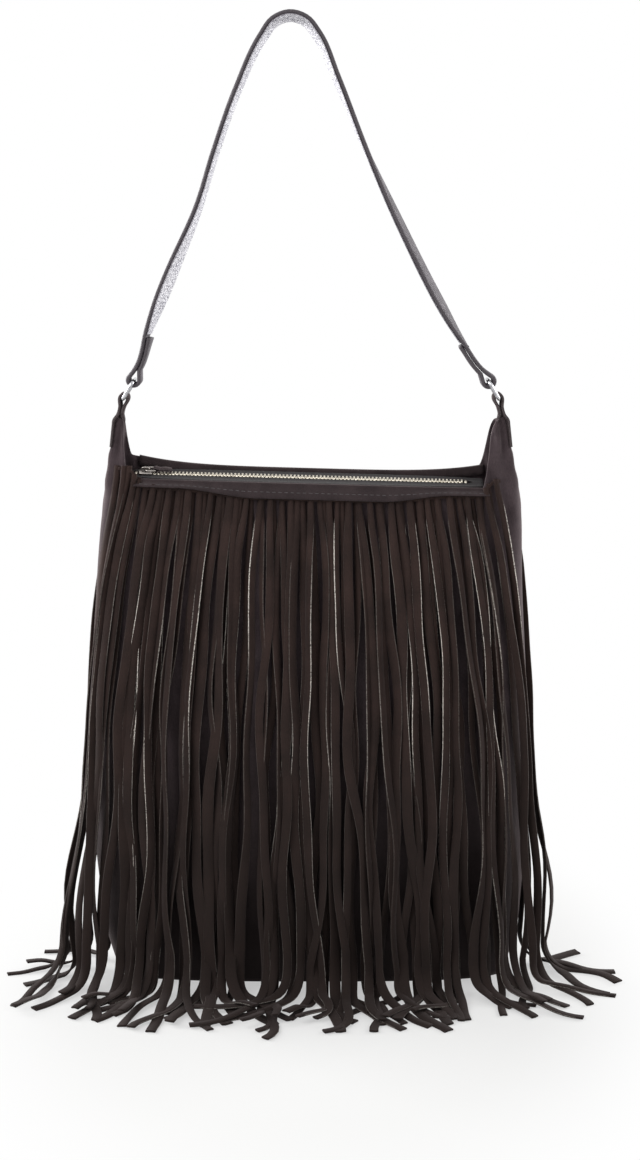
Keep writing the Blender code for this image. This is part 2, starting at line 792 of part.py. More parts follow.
def link_height():
    """The height of the link's bar over the teeth's middle, under the bridge."""
    return slider_top() + GAP + LINK_WIRE


def unite(target, part):
    """Joins a second closed body into the first and removes it."""
    joiner = target.modifiers.new("join", "BOOLEAN")
    joiner.operation = "UNION"
    joiner.object = part
    bpy.context.view_layer.update()
    shape = target.evaluated_get(bpy.context.evaluated_depsgraph_get())
    mesh = bpy.data.meshes.new_from_object(shape)
    target.modifiers.clear()
    target.data = mesh
    bpy.data.objects.remove(part)


def make_slider():
    """The upper half with its bridge, and the lower half under the tapes."""
    slider = loft("zip_slider", slider_shell(True), NICKEL)
    rest = slider_rest()
    under = link_height() + LINK_WIRE + GAP
    half, low = BRIDGE_SPAN / 2, slider_top() - SLIDER_PLATE / 2
    arch = (
        (-half, low),
        (-half, under),
        (-half + BRIDGE_BAR, under + BRIDGE_BAR),
        (half - BRIDGE_BAR, under + BRIDGE_BAR),
        (half, under),
        (half, low),
        (half - BRIDGE_BAR, low),
        (half - BRIDGE_BAR, under),
        (-half + BRIDGE_BAR, under),
        (-half + BRIDGE_BAR, low),
    )
    rings = []
    for across in (-BRIDGE_WIDTH / 2, BRIDGE_WIDTH / 2):
        rings.append(zip_points([(rest + along, across, up) for along, up in arch]))
    unite(slider, loft("bridge", rings, NICKEL))
    loft("zip_slider_base", slider_shell(False), NICKEL)


# Wire loops and folded strips


def rounded_loop(half_long, half_wide, corner, steps):
    """A rounded rectangle about the origin, as (long, wide) pairs."""
    loop = []
    for centre_sign, start in (((1, 1), 0.0), ((-1, 1), 90.0), ((-1, -1), 180.0), ((1, -1), 270.0)):
        for step in range(steps + 1):
            angle = math.radians(start + 90.0 * step / steps)
            loop.append(
                (
                    centre_sign[0] * (half_long - corner) + corner * math.cos(angle),
                    centre_sign[1] * (half_wide - corner) + corner * math.sin(angle),
                )
            )
    return np.array(loop)


def wire_loop(name, pivot, long_way, wide_way, length, width, corner, wire, finish, steps=3, sides=8):
    """A closed wire loop whose first bar lies on pivot and runs along wide_way."""
    long_way, wide_way = unit(long_way), unit(wide_way)
    normal = np.cross(long_way, wide_way)
    flat = rounded_loop(length / 2, width / 2, corner, steps)
    middle = np.asarray(pivot, float) + long_way * length / 2
    path = middle + flat[:, :1] * long_way + flat[:, 1:] * wide_way
    ahead = unit(np.roll(path, -1, axis=0) - np.roll(path, 1, axis=0))
    side = np.cross(ahead, normal)
    rings = []
    for centre, out in zip(path, side):
        turns = [2 * math.pi * (step + 0.5) / sides for step in range(sides)]
        rings.append([centre + wire * (math.cos(turn) * out + math.sin(turn) * normal) for turn in turns])
    return loft(name, rings, finish, closed=True, origin=tuple(pivot), smooth_angle=math.radians(60))


def strip_faces(path, across):
    """The way a strip's flat side faces at each point of its path."""
    steps = unit(np.diff(path, axis=0))
    ahead = np.vstack((steps[:1], steps[:-1] + steps[1:], steps[-1:]))
    return unit(np.cross(ahead, np.broadcast_to(across, path.shape)))


def strip_rings(path, across, face, widths, low, high):
    """Four corners at each point of a strip that lies from low to high off its path."""
    half = across * np.broadcast_to(np.asarray(widths, float), (len(path),))[:, None] / 2
    return np.stack(
        (
            path - half + face * low,
            path + half + face * low,
            path + half + face * high,
            path - half + face * high,
        ),
        axis=1,
    )


def folded_strip(name, path, across, widths, thickness, finish, origin=(0.0, 0.0, 0.0)):
    """A flat strip centred on a path: across is its width's direction."""
    path = np.asarray(path, float)
    across = np.broadcast_to(np.asarray(across, float), path.shape)
    rings = strip_rings(path, across, strip_faces(path, across), widths, -thickness / 2, thickness / 2)
    return loft(name, rings, finish, origin=origin, smooth_angle=math.radians(40))


def eye(centre, away, side, radius, steps):
    """A half turn round a bar: from side, over the far end of away, to the other side."""
    turns = np.linspace(0.0, math.pi, steps + 1)
    return [
        centre + radius * (math.cos(turn) * side + math.sin(turn) * away)
        for turn in turns
    ]


def make_puller():
    """The wire link under the slider's bridge, and the suede lace folded through it."""
    turn = zip_matrix()
    hinge = zip_points([(slider_rest(), 0.0, link_height())])[0]
    along = np.array(turn.to_3x3() @ Vector((1.0, 0.0, 0.0)))
    across = np.array(turn.to_3x3() @ Vector((0.0, 1.0, 0.0)))
    up = np.array(turn.to_3x3() @ Vector((0.0, 0.0, 1.0)))
    length, width = LINK_LENGTH - 2 * LINK_WIRE, LINK_WIDTH - 2 * LINK_WIRE
    wire_loop(
        "zip_puller_link", hinge, along, across, length, width, LINK_CORNER, LINK_WIRE, NICKEL, steps=2, sides=6
    )
    bar = hinge + along * length
    radius = LINK_WIRE + GAP + PULL_TAB_THICKNESS / 2
    leg = (PULL_TAB_THICKNESS + GAP) / 2
    end = bar + along * PULL_TAB_LENGTH - up * (link_height() - TOOTH_HEIGHT / 2 - GAP - 2 * leg)
    knee = bar + along * (radius + 2 * leg)
    upper = [end + up * leg, knee + up * leg]
    lower = [knee - up * leg, end - up * leg]
    path = upper + eye(bar, -along, up, radius, 6) + lower
    folded_strip("zip_pull_lace", path, across, PULL_TAB_WIDTH, PULL_TAB_THICKNESS, FRINGE_BROWN, tuple(hinge))


def ring_bars(side):
    """The lower and the upper bar's middles of the ring on side -1 (left) or 1 (right)."""
    lower = np.array([side * RING_BAR_X, 0.0, RING_BAR_HEIGHT])
    lean = np.array([-side * math.sin(RING_LEAN), 0.0, math.cos(RING_LEAN)])
    return lower, lower + lean * RING_PITCH


def make_ring(name, side):
    lower, upper = ring_bars(side)
    width = RING_WINDOW + 2 * RING_WIRE
    wire_loop(name, lower, upper - lower, (0.0, 1.0, 0.0), RING_PITCH, width, RING_CORNER, RING_WIRE, STEEL)


def make_tab(name, side):
    """The suede strip over the ring's lower bar: its tail is inside the ear, its end outside it."""
    bar, _ = ring_bars(side)
    outside = GAP * 2 + TAB_THICKNESS / 2
    inside = -SUEDE - GAP - TAB_THICKNESS / 2 - TAB_TAIL_INSET

    def beside(height, offset):
        return np.array([side * (half_width(height) + offset), 0.0, height])

    top = EAR_HEIGHT - GAP
    outer = [beside(TAB_OUTER_END, outside), beside((TAB_OUTER_END + top) / 2, outside), beside(top, outside)]
    inner = [beside(top, inside), beside(TAB_INNER_END, inside)]
    away = unit(bar - (outer[-1] + inner[0]) / 2)
    out = np.array([away[2], 0.0, -away[0]]) * side
    radius = RING_WIRE + TAB_CLEARANCE + TAB_THICKNESS / 2
    loop = eye(bar, away, out, radius, 8)
    path = outer + loop + inner
    widths = [TAB_WIDTH] * (len(outer) + len(loop)) + [TAB_TAIL_WIDTH] * len(inner)
    folded_strip(name, path, (0.0, 1.0, 0.0), widths, TAB_THICKNESS, SUEDE_BROWN)


def smooth_route(points, count):
    """Points at even distances along a smooth curve through a short list."""
    points = np.asarray(points, float)
    run = np.concatenate(([0.0], np.cumsum(np.linalg.norm(np.diff(points, axis=0), axis=1))))
    fine = np.linspace(0.0, run[-1], 40 * len(points))
    dense = np.stack([smooth_table(fine, run, column, settled=False) for column in points.T], axis=1)
    along = np.concatenate(([0.0], np.cumsum(np.linalg.norm(np.diff(dense, axis=0), axis=1))))
    even = np.linspace(0.0, along[-1], count)
    return np.stack([np.interp(even, along, dense[:, axis]) for axis in range(points.shape[1])], axis=1)


def strap_points():
    """The strap's middle line between its end loops."""
    return [np.array([share * RING_BAR_X, 0.0, RING_BAR_HEIGHT + up]) for share, up in STRAP_ROUTE]


def strap_eye(side, toward):
    """The centre of the strap's end loop, its way into the strap, and its inner side."""
    _, bar = ring_bars(side)
    into = unit(toward - bar)
    inner = np.array([into[2], 0.0, -into[0]]) * -side
    seat = STRAP_EYE_SEAT if side < 0 else 0.0
    return bar + into * seat, into, inner


def make_strap():
    """The leather strap folded back through both rings, and the pale lining inside its arch."""
    radius = STRAP_EYE + STRAP_LEATHER / 2
    leg = (STRAP_LEATHER + GAP) / 2
    middle_line = strap_points()
    left, left_into, left_inner = strap_eye(-1, middle_line[0])
    right, right_into, right_inner = strap_eye(1, middle_line[-1])
    arch = [left - left_inner * radius, left + left_into * (radius + STRAP_TEARDROP) - left_inner * leg]
    arch += middle_line
    arch += [right + right_into * (radius + STRAP_TEARDROP) - right_inner * leg, right - right_inner * radius]
    route = smooth_route(arch, 43)
    length = float(np.sum(np.linalg.norm(np.diff(route, axis=0), axis=1)))
    share = np.linspace(0.0, 1.0, len(route))
    fold = STRAP_FOLD_BACK / length
    stations = (0.0, 1.3 * fold, 0.25, 0.5, 0.82, 1.0 - 1.3 * fold, 1.0)
    twists = (0.0, 0.0, STRAP_TWIST_LEFT, STRAP_TWIST_TOP, STRAP_TWIST_RIGHT, 0.0, 0.0)
    twist = np.array(smooth_table(share, stations, twists))[:, None]
    ahead = unit(np.gradient(route, axis=0))
    sideways = np.array([0.0, 1.0, 0.0])
    inward = unit(np.cross(sideways, ahead))
    across = np.cos(twist) * sideways + np.sin(twist) * inward
    under = np.cos(twist) * inward - np.sin(twist) * sideways

    doubled = share[(share > 0.45 * fold) & (share < fold)]
    picked = [int(round(at * (len(route) - 1))) for at in doubled]
    back_left = [route[index] + inward[index] * 2 * leg for index in picked]
    back_right = [route[-1 - index] + inward[-1 - index] * 2 * leg for index in picked]
    turn_left = eye(left, -left_into, left_inner, radius, 8)
    turn_right = eye(right, -right_into, -right_inner, radius, 8)
    path = back_left[::-1] + turn_left[:-1] + list(route) + turn_right[1:] + back_right
    path = np.array(path)
    before, after = len(back_left) + len(turn_left) - 1, len(turn_right) - 1 + len(back_right)
    ways = np.vstack((np.tile(sideways, (before, 1)), across, np.tile(sideways, (after, 1))))
    face = strip_faces(path, ways)
    face[before : before + len(route)] = -under
    half = STRAP_LEATHER / 2
    _, pivot = ring_bars(-1)
    smooth = math.radians(40)
    leather = strip_rings(path, ways, face, STRAP_WIDTH, -half, half)
    loft("strap_leather", leather, STRAP_BROWN, origin=tuple(pivot), smooth_angle=smooth)

    free = (share > 1.04 * fold) & (share < 1.0 - 1.04 * fold)
    near = half + STRAP_GLUE_LINE
    lining = strip_rings(route[free], across[free], under[free], STRAP_WIDTH, near, near + STRAP_LINING)
    loft("strap_lining", lining, STRAP_PALE, origin=tuple(pivot), smooth_angle=smooth)


def main():
    for item in list(bpy.data.objects):
        bpy.data.objects.remove(item)
    make_panel("front_panel", True)
    make_panel("back_panel", False)
    make_base()
    make_lining()
    make_binding("mouth_binding_front", True)
    make_binding("mouth_binding_back", False)
    make_fringe()
    make_teeth("zip_teeth_front", -1)
    make_teeth("zip_teeth_back", 1)
    make_tape("zip_tape_front", -1)
    make_tape("zip_tape_back", 1)
    for name, middle in zip(("zip_stop_left", "zip_stop_right"), stop_places()):
        make_stop(name, middle)
    make_slider()
    make_puller()
    for name, side in (("left", -1), ("right", 1)):
        make_ring("ring_" + name, side)
        make_tab("tab_" + name, side)
    make_strap()


main()
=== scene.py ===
"""Dresses the fringed suede bag: suede shell, cut fringe, zip, rings, tabs and strap.

+X is to the right, the front faces -Y, +Z is up, and all lengths are in metres.
"""

import logging
import math
from dataclasses import dataclass, field
from enum import Enum
from functools import cache

import bpy
import numpy as np
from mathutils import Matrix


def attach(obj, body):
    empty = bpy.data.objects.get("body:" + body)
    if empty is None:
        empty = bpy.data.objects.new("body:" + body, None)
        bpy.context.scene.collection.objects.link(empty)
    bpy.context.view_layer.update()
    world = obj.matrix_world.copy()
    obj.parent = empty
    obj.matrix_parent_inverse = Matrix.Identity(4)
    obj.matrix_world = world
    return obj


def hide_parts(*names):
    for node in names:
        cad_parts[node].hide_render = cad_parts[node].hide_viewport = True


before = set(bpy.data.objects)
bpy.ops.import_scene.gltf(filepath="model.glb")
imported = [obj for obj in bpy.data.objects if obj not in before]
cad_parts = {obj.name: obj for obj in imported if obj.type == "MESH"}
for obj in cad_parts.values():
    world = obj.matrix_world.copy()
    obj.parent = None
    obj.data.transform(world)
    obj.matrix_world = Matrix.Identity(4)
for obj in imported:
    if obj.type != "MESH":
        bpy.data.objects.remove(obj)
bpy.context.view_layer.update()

LOG = logging.getLogger("fringed_bag")
Array = np.ndarray
Colour = tuple[float, float, float]

GAP = 0.0003
LEATHER_EDGE = "cut_edge"
RIBBON_MAP = "along_and_across"
SIDEWAYS = np.array((0.0, 1.0, 0.0))
UP = np.array((0.0, 0.0, 1.0))

# Where the combs start and end: from the seams in front, and between two distances at each side
FRONT_INSET = (0.0085, 0.0165)
SIDE_FRINGE = (0.0058, 0.0275)
SIDE_PITCH = 0.0052


class Side(Enum):
    """Which half of the bag a piece belongs to; the value is the sign of its Y direction."""

    FRONT = -1.0
    BACK = 1.0


class End(Enum):
    """Which end of the bag a piece belongs to; the value is the sign of its X."""

    LEFT = -1.0
    RIGHT = 1.0


# Numbers and curves


def unit(vectors: Array) -> Array:
    """Vectors over their own lengths; the last axis holds the coordinates."""
    return vectors / np.maximum(np.linalg.norm(vectors, axis=-1, keepdims=True), 1e-12)


def ease(low: float, high: float, value: Array) -> Array:
    """An S-shaped step from 0 at low to 1 at high: three t squared minus two t cubed."""
    share = np.clip((value - low) / (high - low), 0.0, 1.0)
    return share * share * (3.0 - 2.0 * share)


def bump_at(middle: float, reach: float, value: Array) -> Array:
    """A bell: e to the minus squared distance from the middle, over the reach."""
    return np.exp(-(((value - middle) / reach) ** 2))


def squared_off(wave: Array, power: Array | float) -> Array:
    """Cosines or sines to a power under their own signs; a low power squares the circle off."""
    return np.sign(wave) * np.abs(wave) ** power


def running_sum(steps: Array, axis: int = 0) -> Array:
    """Sums of steps, from 0 before the first one to their total after the last.

    Args:
        steps: the steps.
        axis: the axis to add them up along.

    Returns:
        The sums, one longer than the steps on that axis.
    """
    room = [(0, 0)] * steps.ndim
    room[axis] = (1, 0)
    return np.pad(np.cumsum(steps, axis=axis), room)


def run_along(points: Array, axis: int = 0) -> Array:
    """How far each point lies from the first one, measured from point to point along an axis."""
    return running_sum(np.linalg.norm(np.diff(points, axis=axis), axis=-1), axis)


def points_at(where: Array, run: Array, points: Array) -> Array:
    """Points at distances along a line, whose own points lie one a row at the run's distances."""
    return np.stack([np.interp(where, run, column) for column in points.T], axis=-1)


def smooth_table(where: Array, at: Array, values: Array, settled: bool = True) -> Array:
    """A cubic curve through a short table, with slopes from the neighbouring steps.

    Each span is the cubic that meets the table's values and slopes at both of its ends. The slope
    is the steps' harmonic mean where they go the same way, and otherwise level, or the plain
    gradient where the curve needn't stay inside the table's values.

    Args:
        where: the numbers to read the curve at.
        at: the table's stations, rising.
        values: the table's values.
        settled: True for a curve that never runs past the table's values.

    Returns:
        The curve's value at each number.
    """
    at, values = np.asarray(at, float), np.asarray(values, float)
    steep = np.diff(values) / np.diff(at)
    before, after = steep[:-1], steep[1:]
    same_way = before * after > 0.0
    total = np.where(same_way, before + after, 1.0)
    inner = np.where(same_way, 2 * before * after / total, 0.0)
    slopes = np.concatenate((steep[:1], inner, steep[-1:])) if settled else np.gradient(values, at)
    where = np.clip(np.asarray(where, float), at[0], at[-1])
    index = np.clip(np.searchsorted(at, where, side="right") - 1, 0, len(at) - 2)
    span = at[index + 1] - at[index]
    part = (where - at[index]) / span
    return (
        (2 * part**3 - 3 * part**2 + 1) * values[index]
        + (part**3 - 2 * part**2 + part) * span * slopes[index]
        + (3 * part**2 - 2 * part**3) * values[index + 1]
        + (part**3 - part**2) * span * slopes[index + 1]
    )


def smooth_route(points: Array, count: int) -> Array:
    """Points at even distances along a smooth curve through a short list.

    Args:
        points: the list, one point a row.
        count: how many points to return.

    Returns:
        An array of (count, coordinates).
    """
    points = np.asarray(points, float)
    run = run_along(points)
    fine = np.linspace(0.0, run[-1], 80 * len(points))
    dense = np.stack([smooth_table(fine, run, column, settled=False) for column in points.T], axis=1)
    along = run_along(dense)
    return points_at(np.linspace(0.0, along[-1], count), along, dense)


def waves(random: np.random.Generator, at: Array, lengths: tuple[float, ...]) -> Array:
    """Smooth wandering for many strands: a sum of sines, each with its own chance phase and size.

    Args:
        random: the seeded generator.
        at: distances along the strands, (strands, rows).
        lengths: the sines' wavelengths in metres, longest first.

    Returns:
        Numbers of about -1 to 1, (strands, rows).
    """
    total = np.zeros_like(at)
    for order, length in enumerate(lengths):
        phase = random.uniform(0.0, 2 * math.pi, (len(at), 1))
        size = random.uniform(0.5, 1.0, (len(at), 1)) / (1.0 + 0.8 * order)
        total += size * np.sin(2 * math.pi * at / length + phase)
    return total / 1.3


# Meshes


@dataclass
class Shape:
    """Points and faces worked out as arrays, with what the materials read."""

    points: Array
    faces: Array
    ribbon: Array | None = None
    cut: Array | None = None

    def joined(self, other: "Shape") -> "Shape":
        """Both shapes as one.

        Args:
            other: the shape that comes second.

        Returns:
            The shape, with the map and the cut edges where both have them.
        """
        ribbon = cut = None
        if self.ribbon is not None and other.ribbon is not None:
            ribbon = np.concatenate((self.ribbon, other.ribbon))
        if self.cut is not None and other.cut is not None:
            cut = np.concatenate((self.cut, other.cut))
        points = np.concatenate((self.points, other.points))
        faces = np.concatenate((self.faces, other.faces + len(self.points)))
        return Shape(points, faces, ribbon, cut)

    def volume(self) -> float:
        """Six times the enclosed volume.

        Returns:
            The sum over the faces, above 0 where they point outwards.
        """
        corner = self.points[self.faces]
        first = np.cross(corner[:, 1], corner[:, 2])
        second = np.cross(corner[:, 2], corner[:, 3])
        return float(np.sum(corner[:, 0] * (first + second)))

    def outward(self) -> "Shape":
        """The same shape with every face pointing out of it.

        Returns:
            This shape.
        """
        if self.volume() < 0.0:
            self.faces = self.faces[:, ::-1]
        return self


def make_piece(name: str, shape: Shape) -> bpy.types.Object:
    """Puts a shape into the scene as one smooth-shaded mesh.

    Args:
        name: the piece's name.
        shape: its points and faces.

    Returns:
        The new object, at the origin.
    """
    mesh = bpy.data.meshes.new(name)
    mesh.from_pydata(shape.points.tolist(), [], shape.faces.tolist())
    if shape.ribbon is not None:
        layer = mesh.uv_layers.new(name=RIBBON_MAP)
        layer.data.foreach_set("uv", shape.ribbon[shape.faces.ravel()].astype(np.float32).ravel())
    if shape.cut is not None:
        edge = mesh.attributes.new(LEATHER_EDGE, "FLOAT", "POINT")
        edge.data.foreach_set("value", shape.cut.astype(np.float32))
    mesh.shade_smooth()
    mesh.validate()
    piece = bpy.data.objects.new(name, mesh)
    bpy.context.scene.collection.objects.link(piece)
    return piece


def grid_faces(rows: int, columns: int, wrap_rows: bool = False, wrap_columns: bool = False) -> Array:
    """Quads between the points of a grid, row after row.

    Args:
        rows: how many rows the grid has.
        columns: how many points each row has.
        wrap_rows: True where the last row meets the first.
        wrap_columns: True where each row is a closed loop.

    Returns:
        An array of (faces, 4) indices.
    """
    row = np.arange(rows if wrap_rows else rows - 1)[:, None]
    column = np.arange(columns if wrap_columns else columns - 1)[None, :]
    next_row, next_column = (row + 1) % rows, (column + 1) % columns
    corners = (
        row * columns + column,
        row * columns + next_column,
        next_row * columns + next_column,
        next_row * columns + column,
    )
    return np.stack(corners, axis=-1).reshape(-1, 4)


def tube_faces(count: int, sides: int, closed: bool = False) -> Array:
    """Quads of a tube through closed rings, with quads for caps unless it closes on itself.

    Args:
        count: how many rings it has.
        sides: how many points each ring has, an even number.
        closed: True where the last ring meets the first.

    Returns:
        An array of (faces, 4) indices.
    """
    faces = grid_faces(count, sides, wrap_rows=closed, wrap_columns=True)
    if closed:
        return faces
    step = np.arange(sides // 2 - 1)
    cap = np.stack((step, step + 1, sides - 2 - step, sides - 1 - step), axis=-1)
    return np.concatenate((faces, cap[:, ::-1], cap + (count - 1) * sides))


def copied(faces: Array, copies: int, points: int) -> Array:
    """One body's faces for many equal bodies, whose points follow each other."""
    return (faces + np.arange(copies)[:, None, None] * points).reshape(-1, 4)


def tube(rings: Array, closed: bool = False, ribbon: Array | None = None, cut: Array | None = None) -> Shape:
    """A body through closed rings of an even number of points, capped with quads unless it closes.

    Args:
        rings: (count, sides, 3) points.
        closed: True where the last ring meets the first.
        ribbon: (count, sides, 2) numbers for the piece's own map, or None.
        cut: (count, sides) shares of cut edge, or None.

    Returns:
        The shape, its faces pointing outwards.
    """
    flat_ribbon = None if ribbon is None else ribbon.reshape(-1, 2)
    flat_cut = None if cut is None else cut.reshape(-1)
    faces = tube_faces(*rings.shape[:2], closed)
    return Shape(rings.reshape(-1, 3), faces, flat_ribbon, flat_cut).outward()


def thick_sheet(outer: Array, inner: Array) -> Shape:
    """A closed sheet: two matching grids of points and the rim between their borders.

    Args:
        outer: (rows, columns, 3) points of one side.
        inner: the same for the other side.

    Returns:
        The shape, with its own map in metres along the rows and up the columns.
    """
    rows, columns = outer.shape[:2]
    index = np.arange(rows * columns).reshape(rows, columns)
    front = grid_faces(rows, columns)
    back = front[:, ::-1] + rows * columns
    border = np.concatenate((index[0, :-1], index[:-1, -1], index[-1, :0:-1], index[:0:-1, 0]))
    after = np.roll(border, -1)
    rim = np.stack((border, border + rows * columns, after + rows * columns, after), axis=-1)
    ribbon = np.stack((run_along(outer, 1), run_along(outer, 0)), axis=-1).reshape(-1, 2)
    cut = np.zeros((rows, columns))
    cut[0], cut[-1], cut[:, 0], cut[:, -1] = 1.0, 1.0, 1.0, 1.0
    return Shape(
        np.concatenate((outer.reshape(-1, 3), inner.reshape(-1, 3))),
        np.concatenate((front, back, rim)),
        np.tile(ribbon, (2, 1)),
        np.tile(cut.reshape(-1), 2),
    ).outward()


# Places of a strip's ten section points across its width and thickness, and their share of cut edge
STRIP_ACROSS = np.array([-0.86, 0.0, 0.86, 1.0, 1.0, 0.86, 0.0, -0.86, -1.0, -1.0]) / 2
STRIP_THROUGH = np.array([-1.0, -1.0, -1.0, -0.42, 0.42, 1.0, 1.0, 1.0, 0.42, -0.42]) / 2
STRIP_CUT = np.array([0.0, 0.0, 0.0, 1.0, 1.0, 0.0, 0.0, 0.0, 1.0, 1.0])
CUT_END = 0.0003


def strip(
    centres: Array,
    across: Array,
    through: Array,
    width: Array | float,
    thickness: float,
    cup: Array | float = 0.0,
) -> Shape:
    """Flat strips with softly rounded edges and square-cut ends, all at once.

    A section point lies its share of the width across, its share of the thickness through, and
    the cup times its squared share of the half width through as well, so the strip curls.

    Args:
        centres: (strips, rows, 3) middle lines.
        across: the width's directions, of the same shape.
        through: the thickness's directions, of the same shape.
        width: the strips' widths, a number or (strips, rows).
        thickness: how thick they are.
        cup: how far the edges curl, a number or (strips, rows).

    Returns:
        One shape for all the strips.
    """
    strips, rows = centres.shape[:2]
    width = np.broadcast_to(np.asarray(width, float), (strips, rows))[..., None]
    cup = np.broadcast_to(np.asarray(cup, float), (strips, rows))[..., None]
    sideways = (STRIP_ACROSS * width)[..., None]
    deep = (STRIP_THROUGH * thickness + cup * (2 * STRIP_ACROSS) ** 2)[..., None]
    rings = centres[:, :, None] + across[:, :, None] * sideways + through[:, :, None] * deep
    tangent = unit(np.gradient(centres, axis=1))
    first = rings[:, :1] - tangent[:, :1, None] * CUT_END
    last = rings[:, -1:] + tangent[:, -1:, None] * CUT_END
    rings = np.concatenate((first, rings, last), axis=1)
    run = np.pad(run_along(centres, 1), ((0, 0), (1, 1)), "edge")
    sides = len(STRIP_ACROSS)
    ribbon = np.empty((strips, rows + 2, sides, 2))
    ribbon[..., 0] = STRIP_ACROSS * float(np.max(width)) + 0.1 * np.arange(strips)[:, None, None]
    ribbon[..., 1] = run[..., None]
    cut = np.broadcast_to(STRIP_CUT, (strips, rows + 2, sides)).copy()
    cut[:, 0] = cut[:, -1] = 1.0
    faces = copied(tube_faces(rows + 2, sides), strips, (rows + 2) * sides)
    return Shape(rings.reshape(-1, 3), faces, ribbon.reshape(-1, 2), cut.reshape(-1)).outward()


def band(path: Array, width: Array | float, thickness: float, cup: Array | float = 0.0) -> Shape:
    """One strip along a path that keeps to X and Z, its width lying along Y.

    Args:
        path: (rows, 3) middle line.
        width: its width, a number or one for each row.
        thickness: how thick it is.
        cup: how far its edges curl, a number or one for each row.

    Returns:
        The shape.
    """
    across = np.broadcast_to(SIDEWAYS, path.shape)
    through = np.cross(unit(np.gradient(path, axis=0)), across)
    return strip(path[None], across[None], through[None], width, thickness, cup)


def wire(path: Array, normal: Array, radius: float, sides: int, closed: bool) -> Shape:
    """Round wire along a flat path: circles at right angles to it.

    Args:
        path: (count, 3) middle line.
        normal: the direction at right angles to the path's plane.
        radius: the wire's radius.
        sides: points round the wire.
        closed: True for a loop.

    Returns:
        The shape.
    """
    ahead = np.roll(path, -1, axis=0) - np.roll(path, 1, axis=0) if closed else np.gradient(path, axis=0)
    side = np.cross(unit(ahead), normal)
    turn = 2 * math.pi * (np.arange(sides) + 0.5) / sides
    ring = np.cos(turn)[None, :, None] * side[:, None] + np.sin(turn)[None, :, None] * np.asarray(normal)
    return tube(path[:, None] + radius * ring, closed=closed)


# Rings and sides of a stitch, and how near to its ends the outer rings lie, in radians
PILL_STEPS = 6
PILL_END = 0.12


def pills(centres: Array, along: Array, out: Array, length: float, width: float, height: float) -> Shape:
    """Many small rounded stitches: stretched balls with flattened undersides.

    A point lies the cosine of its latitude times half the length along, and the sine times the
    cosine or sine of its turn across and out.

    Args:
        centres: (count, 3) middles.
        along: the stitches' directions.
        out: the ways that they stand up.
        length: a stitch's length.
        width: its width.
        height: how high it stands.

    Returns:
        One shape for all the stitches.
    """
    latitude = np.linspace(PILL_END, math.pi - PILL_END, PILL_STEPS)
    turn = 2 * math.pi * np.arange(PILL_STEPS) / PILL_STEPS
    swell = np.sin(latitude)[:, None] ** 0.6
    stretch = np.cos(latitude)[:, None, None] * length / 2
    sideways = (swell * np.cos(turn) * width / 2)[..., None]
    upward = (swell * np.sin(turn) * height / 2)[..., None]
    along, out = along[:, None, None], out[:, None, None]
    across = unit(np.cross(out, along))
    rings = centres[:, None, None] + along * stretch + across * sideways + out * upward
    faces = copied(tube_faces(PILL_STEPS, PILL_STEPS), len(centres), PILL_STEPS**2)
    return Shape(rings.reshape(-1, 3), faces).outward()


# Shader maths


class Signal:
    """A number or colour inside a material that Python's own operators work on."""

    def __init__(self, paint: "Paint", socket: bpy.types.NodeSocket) -> None:
        """Keeps the material's node maker and the output socket."""
        self.paint = paint
        self.socket = socket

    def maths(self, operation: str, first: "Signal | float", second: "Signal | float") -> "Signal":
        """One Math node's result."""
        return self.paint.node("ShaderNodeMath", {"operation": operation}, {0: first, 1: second})

    def output(self, name: str) -> "Signal":
        """Another output of the same node."""
        return Signal(self.paint, self.socket.node.outputs[name])

    def __add__(self, other: "Signal | float") -> "Signal":
        """This plus the other."""
        return self.maths("ADD", self, other)

    __radd__ = __add__

    def __sub__(self, other: "Signal | float") -> "Signal":
        """This minus the other."""
        return self.maths("SUBTRACT", self, other)

    def __rsub__(self, other: float) -> "Signal":
        """The other minus this."""
        return self.maths("SUBTRACT", other, self)

    def __mul__(self, other: "Signal | float") -> "Signal":
        """This times the other."""
        return self.maths("MULTIPLY", self, other)

    __rmul__ = __mul__

    def over(self, low: float, high: float) -> "Signal":
        """A smooth step from 0 at low to 1 at high."""
        settings = {"interpolation_type": "SMOOTHSTEP"}
        return self.paint.node("ShaderNodeMapRange", settings, {0: self, 1: low, 2: high, 3: 0.0, 4: 1.0})


